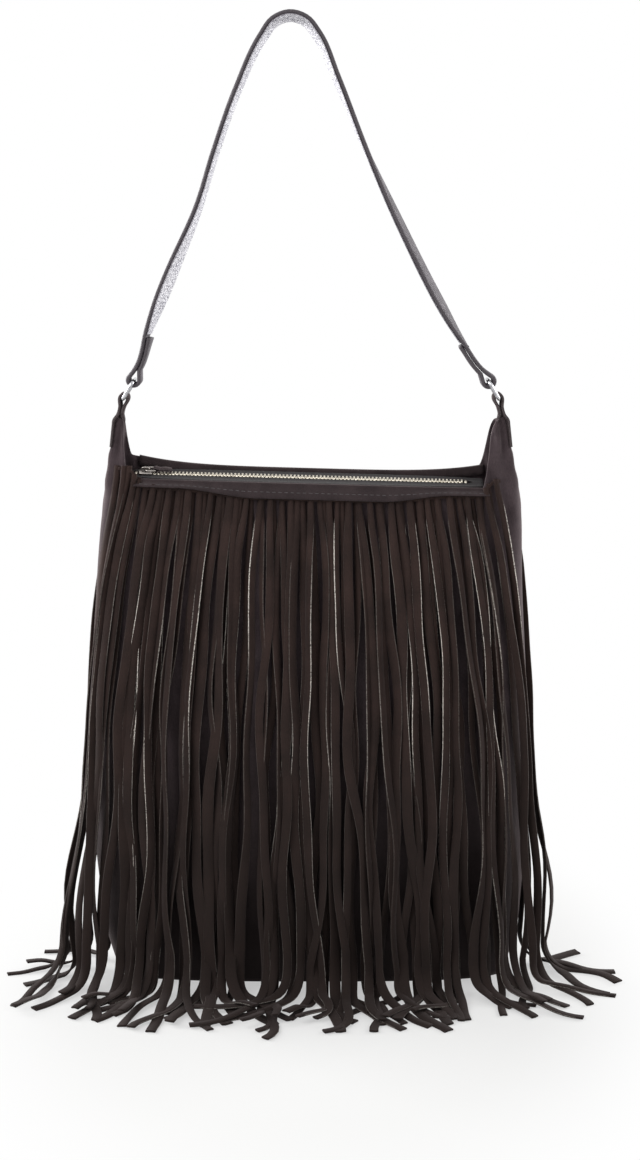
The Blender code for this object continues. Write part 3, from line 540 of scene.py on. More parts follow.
class Paint:
    """One material, with the few ways of adding nodes that every finish uses."""

    def __init__(self, name: str, roughness: float, metallic: float) -> None:
        """Starts a material with its plain numbers set on the shader's own sockets.

        Args:
            name: the material's name.
            roughness: its roughness where nothing varies it.
            metallic: 1 for metal and 0 for anything else.
        """
        self.material = bpy.data.materials.new(name)
        self.material.use_nodes = True
        self.tree = self.material.node_tree
        self.shader = self.tree.nodes["Principled BSDF"]
        self.shader.inputs["Roughness"].default_value = roughness
        self.shader.inputs["Metallic"].default_value = metallic

    def node(self, kind: str, settings: dict, values: dict, output: int | str = 0) -> Signal:
        """Adds one node: its settings first, then its sockets' values or links.

        Args:
            kind: the node's type.
            settings: properties such as a Math node's operation.
            values: socket names or numbers, each with a value or a Signal.
            output: which output to return.

        Returns:
            That output as a Signal.
        """
        node = self.tree.nodes.new(kind)
        for name, setting in settings.items():
            setattr(node, name, setting)
        for name, value in values.items():
            self.feed(node.inputs[name], value)
        return Signal(self, node.outputs[output])

    def feed(self, socket: bpy.types.NodeSocket, value: "Signal | float | tuple") -> None:
        """Sets a socket's value or links it.

        Args:
            socket: the input socket.
            value: a number, a colour or a Signal.
        """
        if isinstance(value, Signal):
            self.tree.links.new(value.socket, socket)
        else:
            socket.default_value = value

    def place(self) -> Signal:
        """The point's place on the object, in metres."""
        return self.node("ShaderNodeTexCoord", {}, {}, "Object")

    def ribbon(self) -> Signal:
        """The piece's own map, in metres across and along."""
        return self.node("ShaderNodeUVMap", {"uv_map": RIBBON_MAP}, {})

    def stretched(self, coordinates: Signal, scale: tuple[float, float, float]) -> Signal:
        """Coordinates scaled by its own factor along each axis."""
        return self.node("ShaderNodeMapping", {}, {"Vector": coordinates, "Scale": scale})

    def noise(self, coordinates: Signal, scale: float, detail: float = 2.0, rough: float = 0.5) -> Signal:
        """Smooth chance numbers from 0 to 1, scale bumps to a metre, with finer layers on them."""
        values = {"Vector": coordinates, "Scale": scale, "Detail": detail, "Roughness": rough}
        return self.node("ShaderNodeTexNoise", {}, values, 0)

    def attribute(self, name: str) -> Signal:
        """A number kept on the mesh's points."""
        return self.node("ShaderNodeAttribute", {"attribute_name": name}, {}, "Fac")

    def blend(self, share: "Signal | float", first: "Signal | Colour", second: "Signal | Colour") -> Signal:
        """A colour between two others: the first at share 0 and the second at 1."""
        colours = [(*value, 1.0) if isinstance(value, tuple) else value for value in (first, second)]
        return self.node("ShaderNodeMix", {"data_type": "RGBA"}, {0: share, 6: colours[0], 7: colours[1]}, 2)

    def relief(self, height: Signal, distance: float, strength: float = 1.0) -> None:
        """Feeds a height, in shares of distance, to the shader's normal."""
        bump = self.node("ShaderNodeBump", {}, {"Height": height, "Distance": distance, "Strength": strength})
        self.feed(self.shader.inputs["Normal"], bump)

    def colour(self, value: Signal) -> None:
        """Feeds the shader's base colour."""
        self.feed(self.shader.inputs["Base Color"], value)

    def roughness(self, value: Signal) -> None:
        """Feeds the shader's roughness."""
        self.feed(self.shader.inputs["Roughness"], value)


# Finishes


@dataclass(frozen=True)
class SuedeFinish:
    """Brushed suede: blotches where the nap lies differently, fine fibres, pale cut edges, and painted shade
    that darkens it towards the bottom.
    """

    name: str
    dark: Colour
    light: Colour
    cut: Colour | None = None
    cut_share: float = 1.0
    # shade is the colour of the painted shade that darkens the suede towards the bottom, and fade is how much
    # of it the lowest part gets
    shade: Colour = (0.0075, 0.0042, 0.0032)
    fade: float = 0.0
    blotch: float = 55.0
    fibre: float = 1500.0
    sheen: float = 0.09
    depth: float = 0.0005

    def material(self) -> bpy.types.Material:
        """Makes the material.

        Returns:
            The material, its colour going from dark to light with the nap, and darkened by painted shade
            towards the bottom.
        """
        paint = Paint(self.name, 0.92, 0.0)
        shader = paint.shader
        shader.inputs["Specular IOR Level"].default_value = 0.25
        shader.inputs["Sheen Weight"].default_value = self.sheen
        shader.inputs["Sheen Roughness"].default_value = 0.45
        shader.inputs["Sheen Tint"].default_value = (0.62, 0.52, 0.52, 1.0)
        place = paint.place()
        blotch = paint.noise(place, self.blotch, 3.0)
        fibre = paint.noise(paint.stretched(place, (1.0, 1.0, 0.35)), self.fibre, 2.0)
        creases = paint.noise(place, 260.0, 3.0)
        nap = blotch.over(0.30, 0.72) * 0.55 + fibre.over(0.25, 0.75) * 0.45
        colour = paint.blend(nap, self.dark, self.light)
        height = paint.node("ShaderNodeSeparateXYZ", {}, {0: place}, "Z")
        # Painted shade: lower down, the colour is blended towards the shade colour, by fade
        colour = paint.blend((1.0 - height.over(0.02, 0.36)) * self.fade, colour, self.shade)
        if self.cut is not None:
            speckle = paint.noise(place, 1900.0, 1.0).over(0.38, 0.58)
            strand = paint.noise(paint.stretched(paint.ribbon(), (13.0, 3.2, 1.0)), 1.0, 1.0).over(0.50, 0.60)
            pale = paint.attribute(LEATHER_EDGE).over(0.55, 0.95) * speckle * (strand * 0.90 + 0.10)
            high = height.over(0.04, 0.24) * 0.80 + 0.20
            colour = paint.blend(pale * high * self.cut_share, colour, self.cut)
        paint.colour(colour)
        paint.roughness(fibre * 0.10 + 0.84)
        paint.relief(fibre * 0.35 + creases * 0.65, self.depth, 0.6)
        return paint.material


@dataclass(frozen=True)
class GrainFinish:
    """Smooth leather with a fine pebbled grain and paler scuffs at its edges."""

    name: str
    dark: Colour
    light: Colour
    cut: Colour
    rough: float
    pebble: float = 1100.0
    depth: float = 0.00025
    speckle: float = 0.0

    def material(self) -> bpy.types.Material:
        """Makes the material.

        Returns:
            The material, dark in the grain's valleys and pale at the cut edges.
        """
        paint = Paint(self.name, self.rough, 0.0)
        paint.shader.inputs["Specular IOR Level"].default_value = 0.35
        place = paint.place()
        cells = paint.node("ShaderNodeTexVoronoi", {}, {"Vector": place, "Scale": self.pebble}, 0)
        tone = paint.noise(place, 70.0, 3.0)
        fleck = paint.noise(place, 1000.0, 2.0, 0.7).over(0.455, 0.56)
        grain = cells.over(0.05, 0.55)
        cloudy = tone.over(0.3, 0.7) * (0.6 - 0.45 * self.speckle)
        colour = paint.blend(cloudy + grain * (0.4 - 0.3 * self.speckle), self.light, self.dark)
        colour = paint.blend(fleck * self.speckle, colour, self.dark)
        colour = paint.blend(paint.attribute(LEATHER_EDGE).over(0.3, 0.9) * 0.7, colour, self.cut)
        paint.colour(colour)
        paint.roughness(tone * 0.18 + (self.rough - 0.09))
        paint.relief(1.0 - grain, self.depth, 0.7)
        return paint.material


@dataclass(frozen=True)
class MetalFinish:
    """Plated metal: soft cloudy polish with fine rub marks."""

    name: str
    bright: Colour
    dull: Colour
    rough: float

    def material(self) -> bpy.types.Material:
        """Makes the material.

        Returns:
            The material, rougher and duller where it has been rubbed.
        """
        paint = Paint(self.name, self.rough, 1.0)
        place = paint.place()
        cloud = paint.noise(place, 420.0, 3.0).over(0.35, 0.7)
        rub = paint.noise(paint.stretched(place, (1.0, 6.0, 1.0)), 1600.0, 2.0)
        paint.colour(paint.blend(cloud * 0.6, self.bright, self.dull))
        paint.roughness(rub * 0.14 + cloud * 0.08 + (self.rough - 0.08))
        paint.relief(rub, 0.00004, 0.4)
        return paint.material


@dataclass(frozen=True)
class ClothFinish:
    """Woven cloth on the piece's own map: over-and-under threads from two crossed sines."""

    name: str
    dark: Colour
    light: Colour
    thread: float

    def material(self) -> bpy.types.Material:
        """Makes the material.

        Returns:
            The material; the weave's height is the product of the two directions' sines.
        """
        paint = Paint(self.name, 0.85, 0.0)
        paint.shader.inputs["Sheen Weight"].default_value = 0.06
        across = paint.node("ShaderNodeSeparateXYZ", {}, {0: paint.ribbon()}, "X")
        turn = math.pi / self.thread
        warp = paint.node("ShaderNodeMath", {"operation": "SINE"}, {0: across * turn})
        weft = paint.node("ShaderNodeMath", {"operation": "SINE"}, {0: across.output("Y") * turn})
        weave = warp * weft * 0.5 + 0.5
        fuzz = paint.noise(paint.place(), 900.0, 2.0)
        paint.colour(paint.blend(weave * 0.6 + fuzz * 0.4, self.dark, self.light))
        paint.relief(weave, 0.00015, 0.6)
        return paint.material


@dataclass(frozen=True)
class ThreadFinish:
    """Sewing thread: a twist of two plies along each stitch."""

    name: str
    dark: Colour
    light: Colour

    def material(self) -> bpy.types.Material:
        """Makes the material.

        Returns:
            The material, its two colours mixed by fine noise.
        """
        paint = Paint(self.name, 0.7, 0.0)
        fibre = paint.noise(paint.place(), 2600.0, 1.0)
        paint.colour(paint.blend(fibre.over(0.3, 0.7), self.dark, self.light))
        paint.relief(fibre, 0.00008, 0.5)
        return paint.material


Finish = SuedeFinish | GrainFinish | MetalFinish | ClothFinish | ThreadFinish

# fade: how far painted shade darkens the lower bag and the fringe
BODY_SUEDE = SuedeFinish("body_suede", (0.027, 0.0182, 0.0205), (0.066, 0.0475, 0.0525), fade=0.8, sheen=0.34)
TRIM_SUEDE = SuedeFinish(
    "trim_suede", (0.017, 0.011, 0.012), (0.041, 0.0285, 0.030), (0.72, 0.66, 0.66), cut_share=0.9, sheen=0.16
)
FRINGE_SUEDE = SuedeFinish(
    "fringe_suede", (0.0115, 0.0060, 0.0048), (0.036, 0.0198, 0.0165), (0.88, 0.82, 0.75), fade=0.72,
    blotch=38.0,
)
STRAP_OUTER = GrainFinish(
    "strap_outer", (0.058, 0.049, 0.058), (0.115, 0.099, 0.115), (0.06, 0.052, 0.058), 0.55
)
# The strap's inner face: dark glossy leather whose light colour is a painted white reflection, with dark
# specks of grain
STRAP_PAINTED_REFLECTION = GrainFinish(
    "strap_inner", (0.16, 0.155, 0.19), (0.97, 0.96, 1.0), (0.22, 0.20, 0.23), 0.60, 1000.0, speckle=1.0
)
ZIP_METAL = MetalFinish("zip_metal", (0.74, 0.69, 0.59), (0.34, 0.30, 0.25), 0.26)
SLIDER_METAL = MetalFinish("slider_metal", (0.42, 0.39, 0.36), (0.20, 0.18, 0.17), 0.28)
RING_METAL = MetalFinish("ring_metal", (0.60, 0.60, 0.62), (0.20, 0.20, 0.22), 0.16)
TAPE_CLOTH = ClothFinish("tape_cloth", (0.012, 0.010, 0.0105), (0.031, 0.027, 0.028), 0.00045)
LINING_CLOTH = ClothFinish("lining_cloth", (0.050, 0.043, 0.042), (0.095, 0.084, 0.082), 0.0006)
DARK_THREAD = ThreadFinish("dark_thread", (0.030, 0.025, 0.026), (0.085, 0.075, 0.078))


# The bag's wall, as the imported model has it


@dataclass(frozen=True)
class Wall:
    """Horizontal sections are rounded rectangles that change with height.

    A section's points have |x / half width| to a power plus |y / half depth| to the same power
    equal to 1. The power and both halves are smooth functions of height.
    """

    base_width: float = 0.300
    base_depth: float = 0.068
    belly_width: float = 0.330
    belly_depth: float = 0.094
    belly_height: float = 0.150
    mouth_width: float = 0.300
    mouth_height: float = 0.386
    mouth_half_depth: float = 0.014522
    ear_height: float = 0.430
    ear_lean: float = 0.005
    ear_pinch: float = 0.003
    ear_reach_left: float = 0.0142
    ear_reach_right: float = 0.0180
    ear_slope_left: float = 0.0050
    ear_slope_right: float = 0.0115
    ear_crown: float = 0.005
    ear_shoulder: float = 0.005
    ear_trim: float = 0.001
    fill_left: float = 0.0052
    fill_right: float = 0.0015
    fill_bulge: float = 0.0050
    bulge_height: float = 0.372
    suede: float = 0.0020
    rear_lift: float = 0.0045
    rear_rise: float = 0.012
    zip_slope: float = math.radians(1.6)
    zip_tilt: float = math.radians(15.0)

    def half_width(self, height: Array) -> Array:
        """Half the bag's width at each height.

        Args:
            height: heights.

        Returns:
            The half widths.
        """
        stations = (0.0, 0.3 * self.belly_height, self.belly_height, 0.8 * self.mouth_height)
        low = self.base_width + 0.72 * (self.belly_width - self.base_width)
        high = self.mouth_width + 0.50 * (self.belly_width - self.mouth_width)
        ends = (self.mouth_width, self.mouth_width - 2 * self.ear_lean)
        widths = np.array((self.base_width, low, self.belly_width, high, *ends)) / 2
        return smooth_table(height, (*stations, self.mouth_height, self.ear_height), widths)

    def half_depth(self, height: Array) -> Array:
        """Half the bag's depth at each height.

        Args:
            height: heights.

        Returns:
            The half depths.
        """
        mouth = 2 * self.mouth_half_depth
        stations = (0.0, 0.3 * self.belly_height, self.belly_height, 0.75 * self.mouth_height)
        low = self.base_depth + 0.75 * (self.belly_depth - self.base_depth)
        high = mouth + 0.52 * (self.belly_depth - mouth)
        ends = (mouth, mouth - 2 * self.ear_pinch)
        depths = np.array((self.base_depth, low, self.belly_depth, high, *ends)) / 2
        return smooth_table(height, (*stations, self.mouth_height, self.ear_height), depths)

    def squareness(self, height: Array) -> Array:
        """The power of each section's curve."""
        stations = (0.0, self.belly_height, self.mouth_height, self.ear_height)
        return np.interp(height, stations, (3.2, 2.7, 3.6, 5.0))

    def outline(self, height: Array) -> tuple[Array, Array, Array]:
        """Half of each section, from the left seam to the right one.

        x is minus the half width times the signed cosine to two over the power, y the half depth
        times the sine to the same, and the run adds up the steps between them.

        Args:
            height: heights, one for each outline.

        Returns:
            x, y and the run along the outline, each (heights, 241).
        """
        wide, deep = self.half_width(height)[:, None], self.half_depth(height)[:, None]
        power = self.squareness(height)[:, None]
        turn = np.linspace(0.0, math.pi, 241)
        x = -wide * squared_off(np.cos(turn), 2 / power)
        y = deep * np.abs(np.sin(turn)) ** (2 / power)
        return x, y, running_sum(np.hypot(np.diff(x, axis=1), np.diff(y, axis=1)), 1)

    def mouth_run(self) -> float:
        """The length of half the outline at the mouth."""
        return float(self.outline(np.array([self.mouth_height]))[2][0, -1])

    def place(self, along: Array, height: Array, offset: Array | float, side: Side) -> tuple[Array, Array]:
        """Points of the wall and the ways it faces.

        Args:
            along: shares of the half outline, from the left seam to the right one.
            height: heights.
            offset: how far outside the wall's outer face the points lie.
            side: the front or the back.

        Returns:
            The points and the outward directions, each of the arguments' shape and (3,).
        """
        along, height, offset = np.broadcast_arrays(along, height, offset)
        shape = along.shape
        along, height = np.clip(along.ravel(), 0.0, 1.0), height.ravel()
        x, y, run = self.outline(height)
        at = along * run[:, -1]
        segment = np.clip((run[:, 1:-1] <= at[:, None]).sum(axis=1), 0, run.shape[1] - 2)
        row = np.arange(len(at))
        length = np.maximum(run[row, segment + 1] - run[row, segment], 1e-12)
        part = (at - run[row, segment]) / length
        x = x[row, segment] * (1 - part) + x[row, segment + 1] * part
        y = y[row, segment] * (1 - part) + y[row, segment + 1] * part
        wide, deep, power = self.half_width(height), self.half_depth(height), self.squareness(height)
        face_x = np.sign(x) * (np.abs(x) / wide) ** (power - 1) / wide
        face_y = side.value * (np.abs(y) / deep) ** (power - 1) / deep
        facing = unit(np.stack((face_x, face_y, np.zeros_like(face_x)), axis=-1))
        points = np.stack((x, side.value * y, height), axis=-1) + facing * offset.reshape(-1, 1)
        return points.reshape(*shape, 3), facing.reshape(*shape, 3)

    def rim(self, x: Array, side: Side) -> Array:
        """The top edge between the ears: level with the zip in front, and lifted behind.

        Args:
            x: places along the mouth.
            side: the front or the back.

        Returns:
            The edge's heights.
        """
        line = self.mouth_height - math.tan(self.zip_slope) * x
        if side is Side.FRONT:
            return line - self.mouth_half_depth * math.sin(self.zip_tilt)
        share = np.abs(x) / (self.mouth_width / 2)
        return line + self.rear_lift + self.rear_rise * share**4

    def top(self, along: Array, side: Side) -> Array:
        """A panel's top edge, ears included.

        Args:
            along: shares of the half outline.
            side: the front or the back.

        Returns:
            The edge's heights.
        """
        run = self.mouth_run()
        reach = np.minimum(along, 1.0 - along) * run
        place, _ = self.place(along, np.full_like(along, self.mouth_height), 0.0, side)
        rim = self.rim(place[..., 0], side)
        ear = np.where(along < 0.5, self.ear_reach_left, self.ear_reach_right)
        slope = np.where(along < 0.5, self.ear_slope_left, self.ear_slope_right)
        lift = 1.0 - ease(0.0, 1.0, (reach - ear + self.ear_shoulder) / (slope + self.ear_shoulder))
        crown = self.ear_crown * (1.0 - ease(0.0, 1.0, reach / ear))
        return rim + (self.ear_height + crown - self.ear_trim - rim) * lift

    def side_fill(self, along: Array, height: Array) -> Array:
        """How far the filled bag swells at its sides, more on the left.

        Args:
            along: shares of the half outline.
            height: heights.

        Returns:
            The swelling, which grows with the eighth power of the way from the middle.
        """
        left = self.fill_left * np.clip(1.0 - 2 * along, 0.0, 1.0) ** 8
        bulge = self.fill_right + self.fill_bulge * bump_at(self.bulge_height, 0.045, height)
        right = np.clip(2 * along - 1.0, 0.0, 1.0) ** 8 * bulge
        return (left + right) * ease(0.02, 0.16, height) * (1.0 - ease(0.380, 0.425, height))


WALL = Wall()


# Sub-assemblies


@cache
def dressed(finish: Finish) -> bpy.types.Material:
    """The finish's material, made once for all the pieces that share it."""
    return finish.material()


@dataclass
class Assembly:
    """A group of pieces, built as bare meshes first and dressed in their finishes afterwards."""

    pieces: dict[str, bpy.types.Object] = field(default_factory=dict, init=False)
    finishes: dict[str, Finish] = field(default_factory=dict, init=False)

    def add(self, name: str, shape: Shape, finish: Finish, body: str, slot: str, *nodes: str) -> None:
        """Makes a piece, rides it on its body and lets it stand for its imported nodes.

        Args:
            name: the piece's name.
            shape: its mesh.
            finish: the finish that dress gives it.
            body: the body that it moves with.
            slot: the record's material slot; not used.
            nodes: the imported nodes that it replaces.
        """
        piece = make_piece(name, shape)
        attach(piece, body)
        if nodes:
            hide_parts(*nodes)
        self.pieces[name] = piece
        self.finishes[name] = finish
        LOG.info("%s: %d faces on %s", name, len(shape.faces), body)

    def dress(self) -> None:
        """Gives each piece its finish's material."""
        for name, finish in self.finishes.items():
            self.pieces[name].data.materials.append(dressed(finish))


# The walls' slack folds: each ridge's depth, its waves along and up the wall, and its phase
FOLDS = ((1.0, 9.0, 17.0, 0.6), (0.7, 21.0, -34.0, 1.9), (0.35, 47.0, 40.0, 0.0), (0.25, 60.0, -95.0, 2.5))


@dataclass
class SuedeShell(Assembly):
    """The bag's two panels, its base and its cloth lining."""

    columns: int = 150
    rows: int = 110
    foot: float = 0.0002
    wrinkle_front: float = 0.0006
    wrinkle_back: float = 0.0022
    pleat: float = 0.0014
    pinch: float = 0.0005
    seam_puff: float = 0.0005
    seam_dip: float = 0.0006
    lining: float = 0.0010
    lining_ease: float = 0.0022
    lining_top: float = 0.3685

    def along(self) -> Array:
        """Shares along the outline, closer together at the ears: an even row bent by a sine."""
        even = np.linspace(0.0, 1.0, self.columns)
        return even - 0.105 * np.sin(2 * math.pi * even)

    def sag(self, along: Array, height: Array, side: Side) -> Array:
        """How far the suede stands off the plain wall: slack folds and a puffed side seam.

        The folds are four slanted sine ridges that fade at the foot and the rim. At the seam the
        suede dips in over a millimetre and puffs out beside it.

        Args:
            along: shares along the outline.
            height: heights.
            side: the front or the back.

        Returns:
            Offsets in metres.
        """
        size = self.wrinkle_front if side is Side.FRONT else self.wrinkle_back
        run = WALL.mouth_run()
        distance = np.minimum(along, 1.0 - along) * run
        fade = ease(0.004, 0.05, height) * (1.0 - ease(0.33, 0.375, height)) * ease(0.002, 0.02, distance)
        folds = sum(deep * np.sin(wide * along + high * height + phase) for deep, wide, high, phase in FOLDS)
        ear = ease(WALL.mouth_height - 0.05, WALL.ear_height - 0.01, height)
        ear = ear * (1.0 - ease(0.016, 0.040, distance))
        seam = self.seam_puff * bump_at(0.0045, 0.003, distance)
        seam = seam - self.seam_dip * bump_at(0.0, 0.0012, distance)
        pleats = np.sin(2 * math.pi * distance / 0.0095 + 42.0 * height)
        pleats = pleats + 0.4 * np.sin(900.0 * distance - 70.0 * height)
        pleats = self.pleat * ear * pleats * ease(0.0, 0.003, distance)
        pinch = self.pinch * ear * np.sin(310.0 * height + 400.0 * distance)
        return size * fade * folds + seam + pleats + pinch + WALL.side_fill(along, height)

    def panel(self, side: Side) -> Shape:
        """One panel from seam to seam, with half an ear at each end.

        Args:
            side: the front or the back.

        Returns:
            The panel.
        """
        along = self.along()
        top = WALL.top(along, side)
        level = np.linspace(0.0, 1.0, self.rows)[:, None]
        height = self.foot + level * (top - self.foot)
        along = np.broadcast_to(along, height.shape)
        sag = self.sag(along, height, side)
        outer, _ = WALL.place(along, height, sag, side)
        inner, _ = WALL.place(along, height, sag - WALL.suede, side)
        for grid in (outer, inner):
            grid[:, 0, 1] = grid[:, -1, 1] = side.value * GAP / 2
        return thick_sheet(outer, inner)

    def base(self) -> Shape:
        """The flat base: rings of shrinking sizes at rising heights, joined into a plate.

        Returns:
            The plate.
        """
        share = np.linspace(0.0, 1.0, 80)
        height = np.zeros(80)
        front, _ = WALL.place(share, height, -0.0006, Side.FRONT)
        back, _ = WALL.place(share[::-1], height, -0.0006, Side.BACK)
        loop = np.concatenate((front, back[1:-1]))
        sizes = np.array((0.3, 0.985, 1.0, 1.0, 0.985, 0.9, 0.6, 0.3))
        rise = np.array((0.1, 0.1, 0.3, 1.6, 2.0, 2.1, 2.2, 2.2)) / 1000
        return tube(loop * sizes[:, None, None] + rise[:, None, None] * UP)

    def lining_ring(self, height: float, inset: float) -> Array:
        """One loop of the lining round the bag, pushed in wherever the suede falls in.

        Args:
            height: its height.
            inset: how far inside the wall it lies.

        Returns:
            Its points, one a row.
        """
        share = np.linspace(0.008, 0.992, 60)
        level = np.full(60, height)
        halves = []
        for side, shares in ((Side.FRONT, share), (Side.BACK, share[::-1])):
            pushed = np.minimum(self.sag(shares, level, side), 0.0)
            halves.append(WALL.place(shares, level, pushed - inset, side)[0])
        return np.concatenate(halves)

    def lining_bag(self) -> Shape:
        """The cloth bag inside, open at the top: a ring for each height, out and back in.

        Returns:
            The cloth.
        """
        steps = np.linspace(0.0026, self.lining_top, 40)
        outside = WALL.suede + self.lining_ease
        outer = [self.lining_ring(height, outside) for height in steps]
        inner = [self.lining_ring(height, outside + self.lining) for height in steps[:0:-1]]
        inner.append(self.lining_ring(steps[0] + self.lining, outside + self.lining))
        rings = np.array(outer + inner)
        around = np.linspace(0.0, 0.66, rings.shape[1])
        ribbon = np.stack(np.broadcast_arrays(around, rings[:, :, 2]), axis=-1)
        return tube(rings, ribbon=ribbon)

    def build(self) -> None:
        """Makes the panels, the base and the lining."""
        front, back, base = self.panel(Side.FRONT), self.panel(Side.BACK), self.base()
        for word, shape in (("front", front), ("back", back), ("base", base)):
            self.add("suede_" + word, shape, BODY_SUEDE, "bag", "body_suede", word + "_panel")
        self.add("lining_bag", self.lining_bag(), LINING_CLOTH, "bag", "lining_cloth", "lining")


def band_end(x: Array) -> Array:
    """How far the band in front has narrowed at each x: from 0 to 1, sooner on the left."""
    return np.where(x < 0.0, ease(0.040, 0.100, -x), ease(0.052, 0.104, x))


@dataclass
class MouthBinding(Assembly):
    """The folded strip along one edge of the mouth, with its row of stitches."""

    side: Side
    end: float = 0.131
    thickness: float = 0.0012
    inner_leg: float = 0.006
    outer_leg: float = 0.0092
    fringe_room: float = 0.0064
    narrowed: float = 0.6
    columns: int = 120
    stitch: float = 0.0030
    stitch_pitch: float = 0.0046
    stitch_fall: float = 0.55

    def along(self) -> Array:
        """Shares along the outline between the binding's ends.

        Returns:
            One share for each column.
        """
        share = np.linspace(0.0, 1.0, 1200)
        place, _ = WALL.place(share, np.full(1200, WALL.mouth_height), 0.0, self.side)
        inside = share[np.abs(place[:, 0]) < self.end]
        return np.linspace(inside[0], inside[-1], self.columns)

    def profile(self) -> Array:
        """The folded section as (out, up) pairs: up the inner leg, over the edge, down the outer leg.

        Returns:
            An even number of pairs.
        """
        inner, gap, thick = -WALL.suede - GAP, GAP, self.thickness
        room = self.fringe_room if self.side is Side.FRONT else gap
        low = -self.outer_leg
        crown = np.linspace(0.0, math.pi, 9)
        middle, half = (inner + gap) / 2, (gap - inner) / 2
        arch = thick * 1.15 * np.sin(crown) ** 0.7
        over = np.stack((middle - (half + thick) * np.cos(crown), arch), axis=-1)
        under = np.stack((middle - half * np.cos(crown), 0.0002 + 0 * crown), axis=-1)
        fall = np.linspace(0.0, 1.0, 10)[1:]
        bulge = room * ease(0.0, 1.0, fall) + gap * (1 - ease(0.0, 1.0, fall))
        outer = np.stack((bulge + thick + 0.0004 * np.sin(math.pi * fall), low * fall), axis=-1)
        tip = np.array([[room + thick * 0.5, low - thick * 0.35]])
        inside = np.stack((bulge, low * fall), axis=-1)[::-1]
        first = np.array([[inner - thick, -self.inner_leg], [inner - thick, -self.inner_leg / 2]])
        last = np.array([[inner, -self.inner_leg / 2], [inner, -self.inner_leg]])
        section = np.concatenate((first, over, outer, tip, inside, under[::-1], last))
        return section if len(section) % 2 == 0 else np.concatenate((section, section[-1:] - [0.0003, 0.0]))

    def surface(self, out: Array, up: Array) -> tuple[Array, Array]:
        """Points at (out, up) from the mouth's edge, for each column.

        Args:
            out: distances outside the wall.
            up: heights over the edge.

        Returns:
            The points and outward directions, (columns, len(out), 3).
        """
        along = self.along()
        edge, _ = WALL.place(along, np.full(len(along), WALL.mouth_height), 0.0, self.side)
        rim = WALL.rim(edge[:, 0], self.side)
        leg = 1.0 - self.narrowed * band_end(edge[:, 0]) * (self.side is Side.FRONT)
        height = rim[:, None] + up[None, :] * np.where(up < 0, leg[:, None], 1.0)
        wave = 0.00035 * np.sin(190.0 * along)[:, None] * (up[None, :] < 0)
        return WALL.place(along[:, None] + 0 * height, height, out[None, :] + wave, self.side)

    def stitches(self) -> Shape:
        """Stitches along the outer leg, evenly spaced.

        Returns:
            One shape for them all.
        """
        out = self.thickness + GAP
        if self.side is Side.FRONT:
            out += (self.fringe_room - GAP) * float(ease(0.0, 1.0, np.array(self.stitch_fall)))
        line, facing = self.surface(np.array([out + 0.0004]), np.array([-self.stitch_fall * self.outer_leg]))
        line, facing = line[:, 0], facing[:, 0]
        run = run_along(line)
        at = np.arange(self.stitch_pitch, run[-1] - self.stitch_pitch, self.stitch_pitch)
        middle = points_at(at, run, line)
        ahead = points_at(at + 0.001, run, line) - middle
        return pills(middle, unit(ahead), unit(points_at(at, run, facing)), self.stitch, 0.0007, 0.0006)

    def build(self) -> None:
        """Makes the binding and its stitches."""
        word = self.side.name.lower()
        section = self.profile()
        rings, _ = self.surface(section[:, 0], section[:, 1])
        run = np.linspace(0.0, 2 * self.end, self.columns)
        ribbon = np.stack(np.broadcast_arrays(run[:, None], section[None, :, 1]), axis=-1)
        cut = np.broadcast_to((section[:, 1] < -self.outer_leg * 0.99) * 0.4, rings.shape[:2])
        shape = tube(rings, ribbon=ribbon, cut=cut)
        self.add("binding_" + word, shape, TRIM_SUEDE, "bag", "binding_suede", "mouth_binding_" + word)
        self.add("stitches_" + word, self.stitches(), DARK_THREAD, "bag", "binding_suede")


@dataclass
class Lay:
    """A comb's strands while they are worked out, in arrays of (strands, 1) or (strands, rows).

    A strand's middle line goes straight down for the length hang, round a circle of radius bend,
    and on along the ground for the length toe. Its speed down is the cosine of the bend's angle,
    and its speed outwards the sine, so both are added up along the strand.
    """

    random: np.random.Generator
    starts: Array
    share: Array
    level: Array
    top: Array
    bend: Array
    toe: Array
    lift: Array
    hang: Array
    at: Array

    def __post_init__(self) -> None:
        """Works out the angle, the height, the share of the length, and how free the strand is."""
        self.one = self.starts.shape
        self.sideways = np.abs(2 * self.share - 1.0)
        self.angle = np.clip((self.at - self.hang) / self.bend, 0.0, math.pi / 2)
        self.step = np.diff(self.at, axis=1)
        self.middle = (self.angle[:, 1:] + self.angle[:, :-1]) / 2
        self.height = self.top - running_sum(np.cos(self.middle) * self.step, 1)
        self.drop = self.at / self.at[:, -1:]
        self.freedom = ease(0.02, 0.5, self.drop)
        upper, reach = WALL.belly_height + 0.05, WALL.belly_height + 0.03
        self.below = ease(0.0, 1.0, (upper - self.height) / reach)


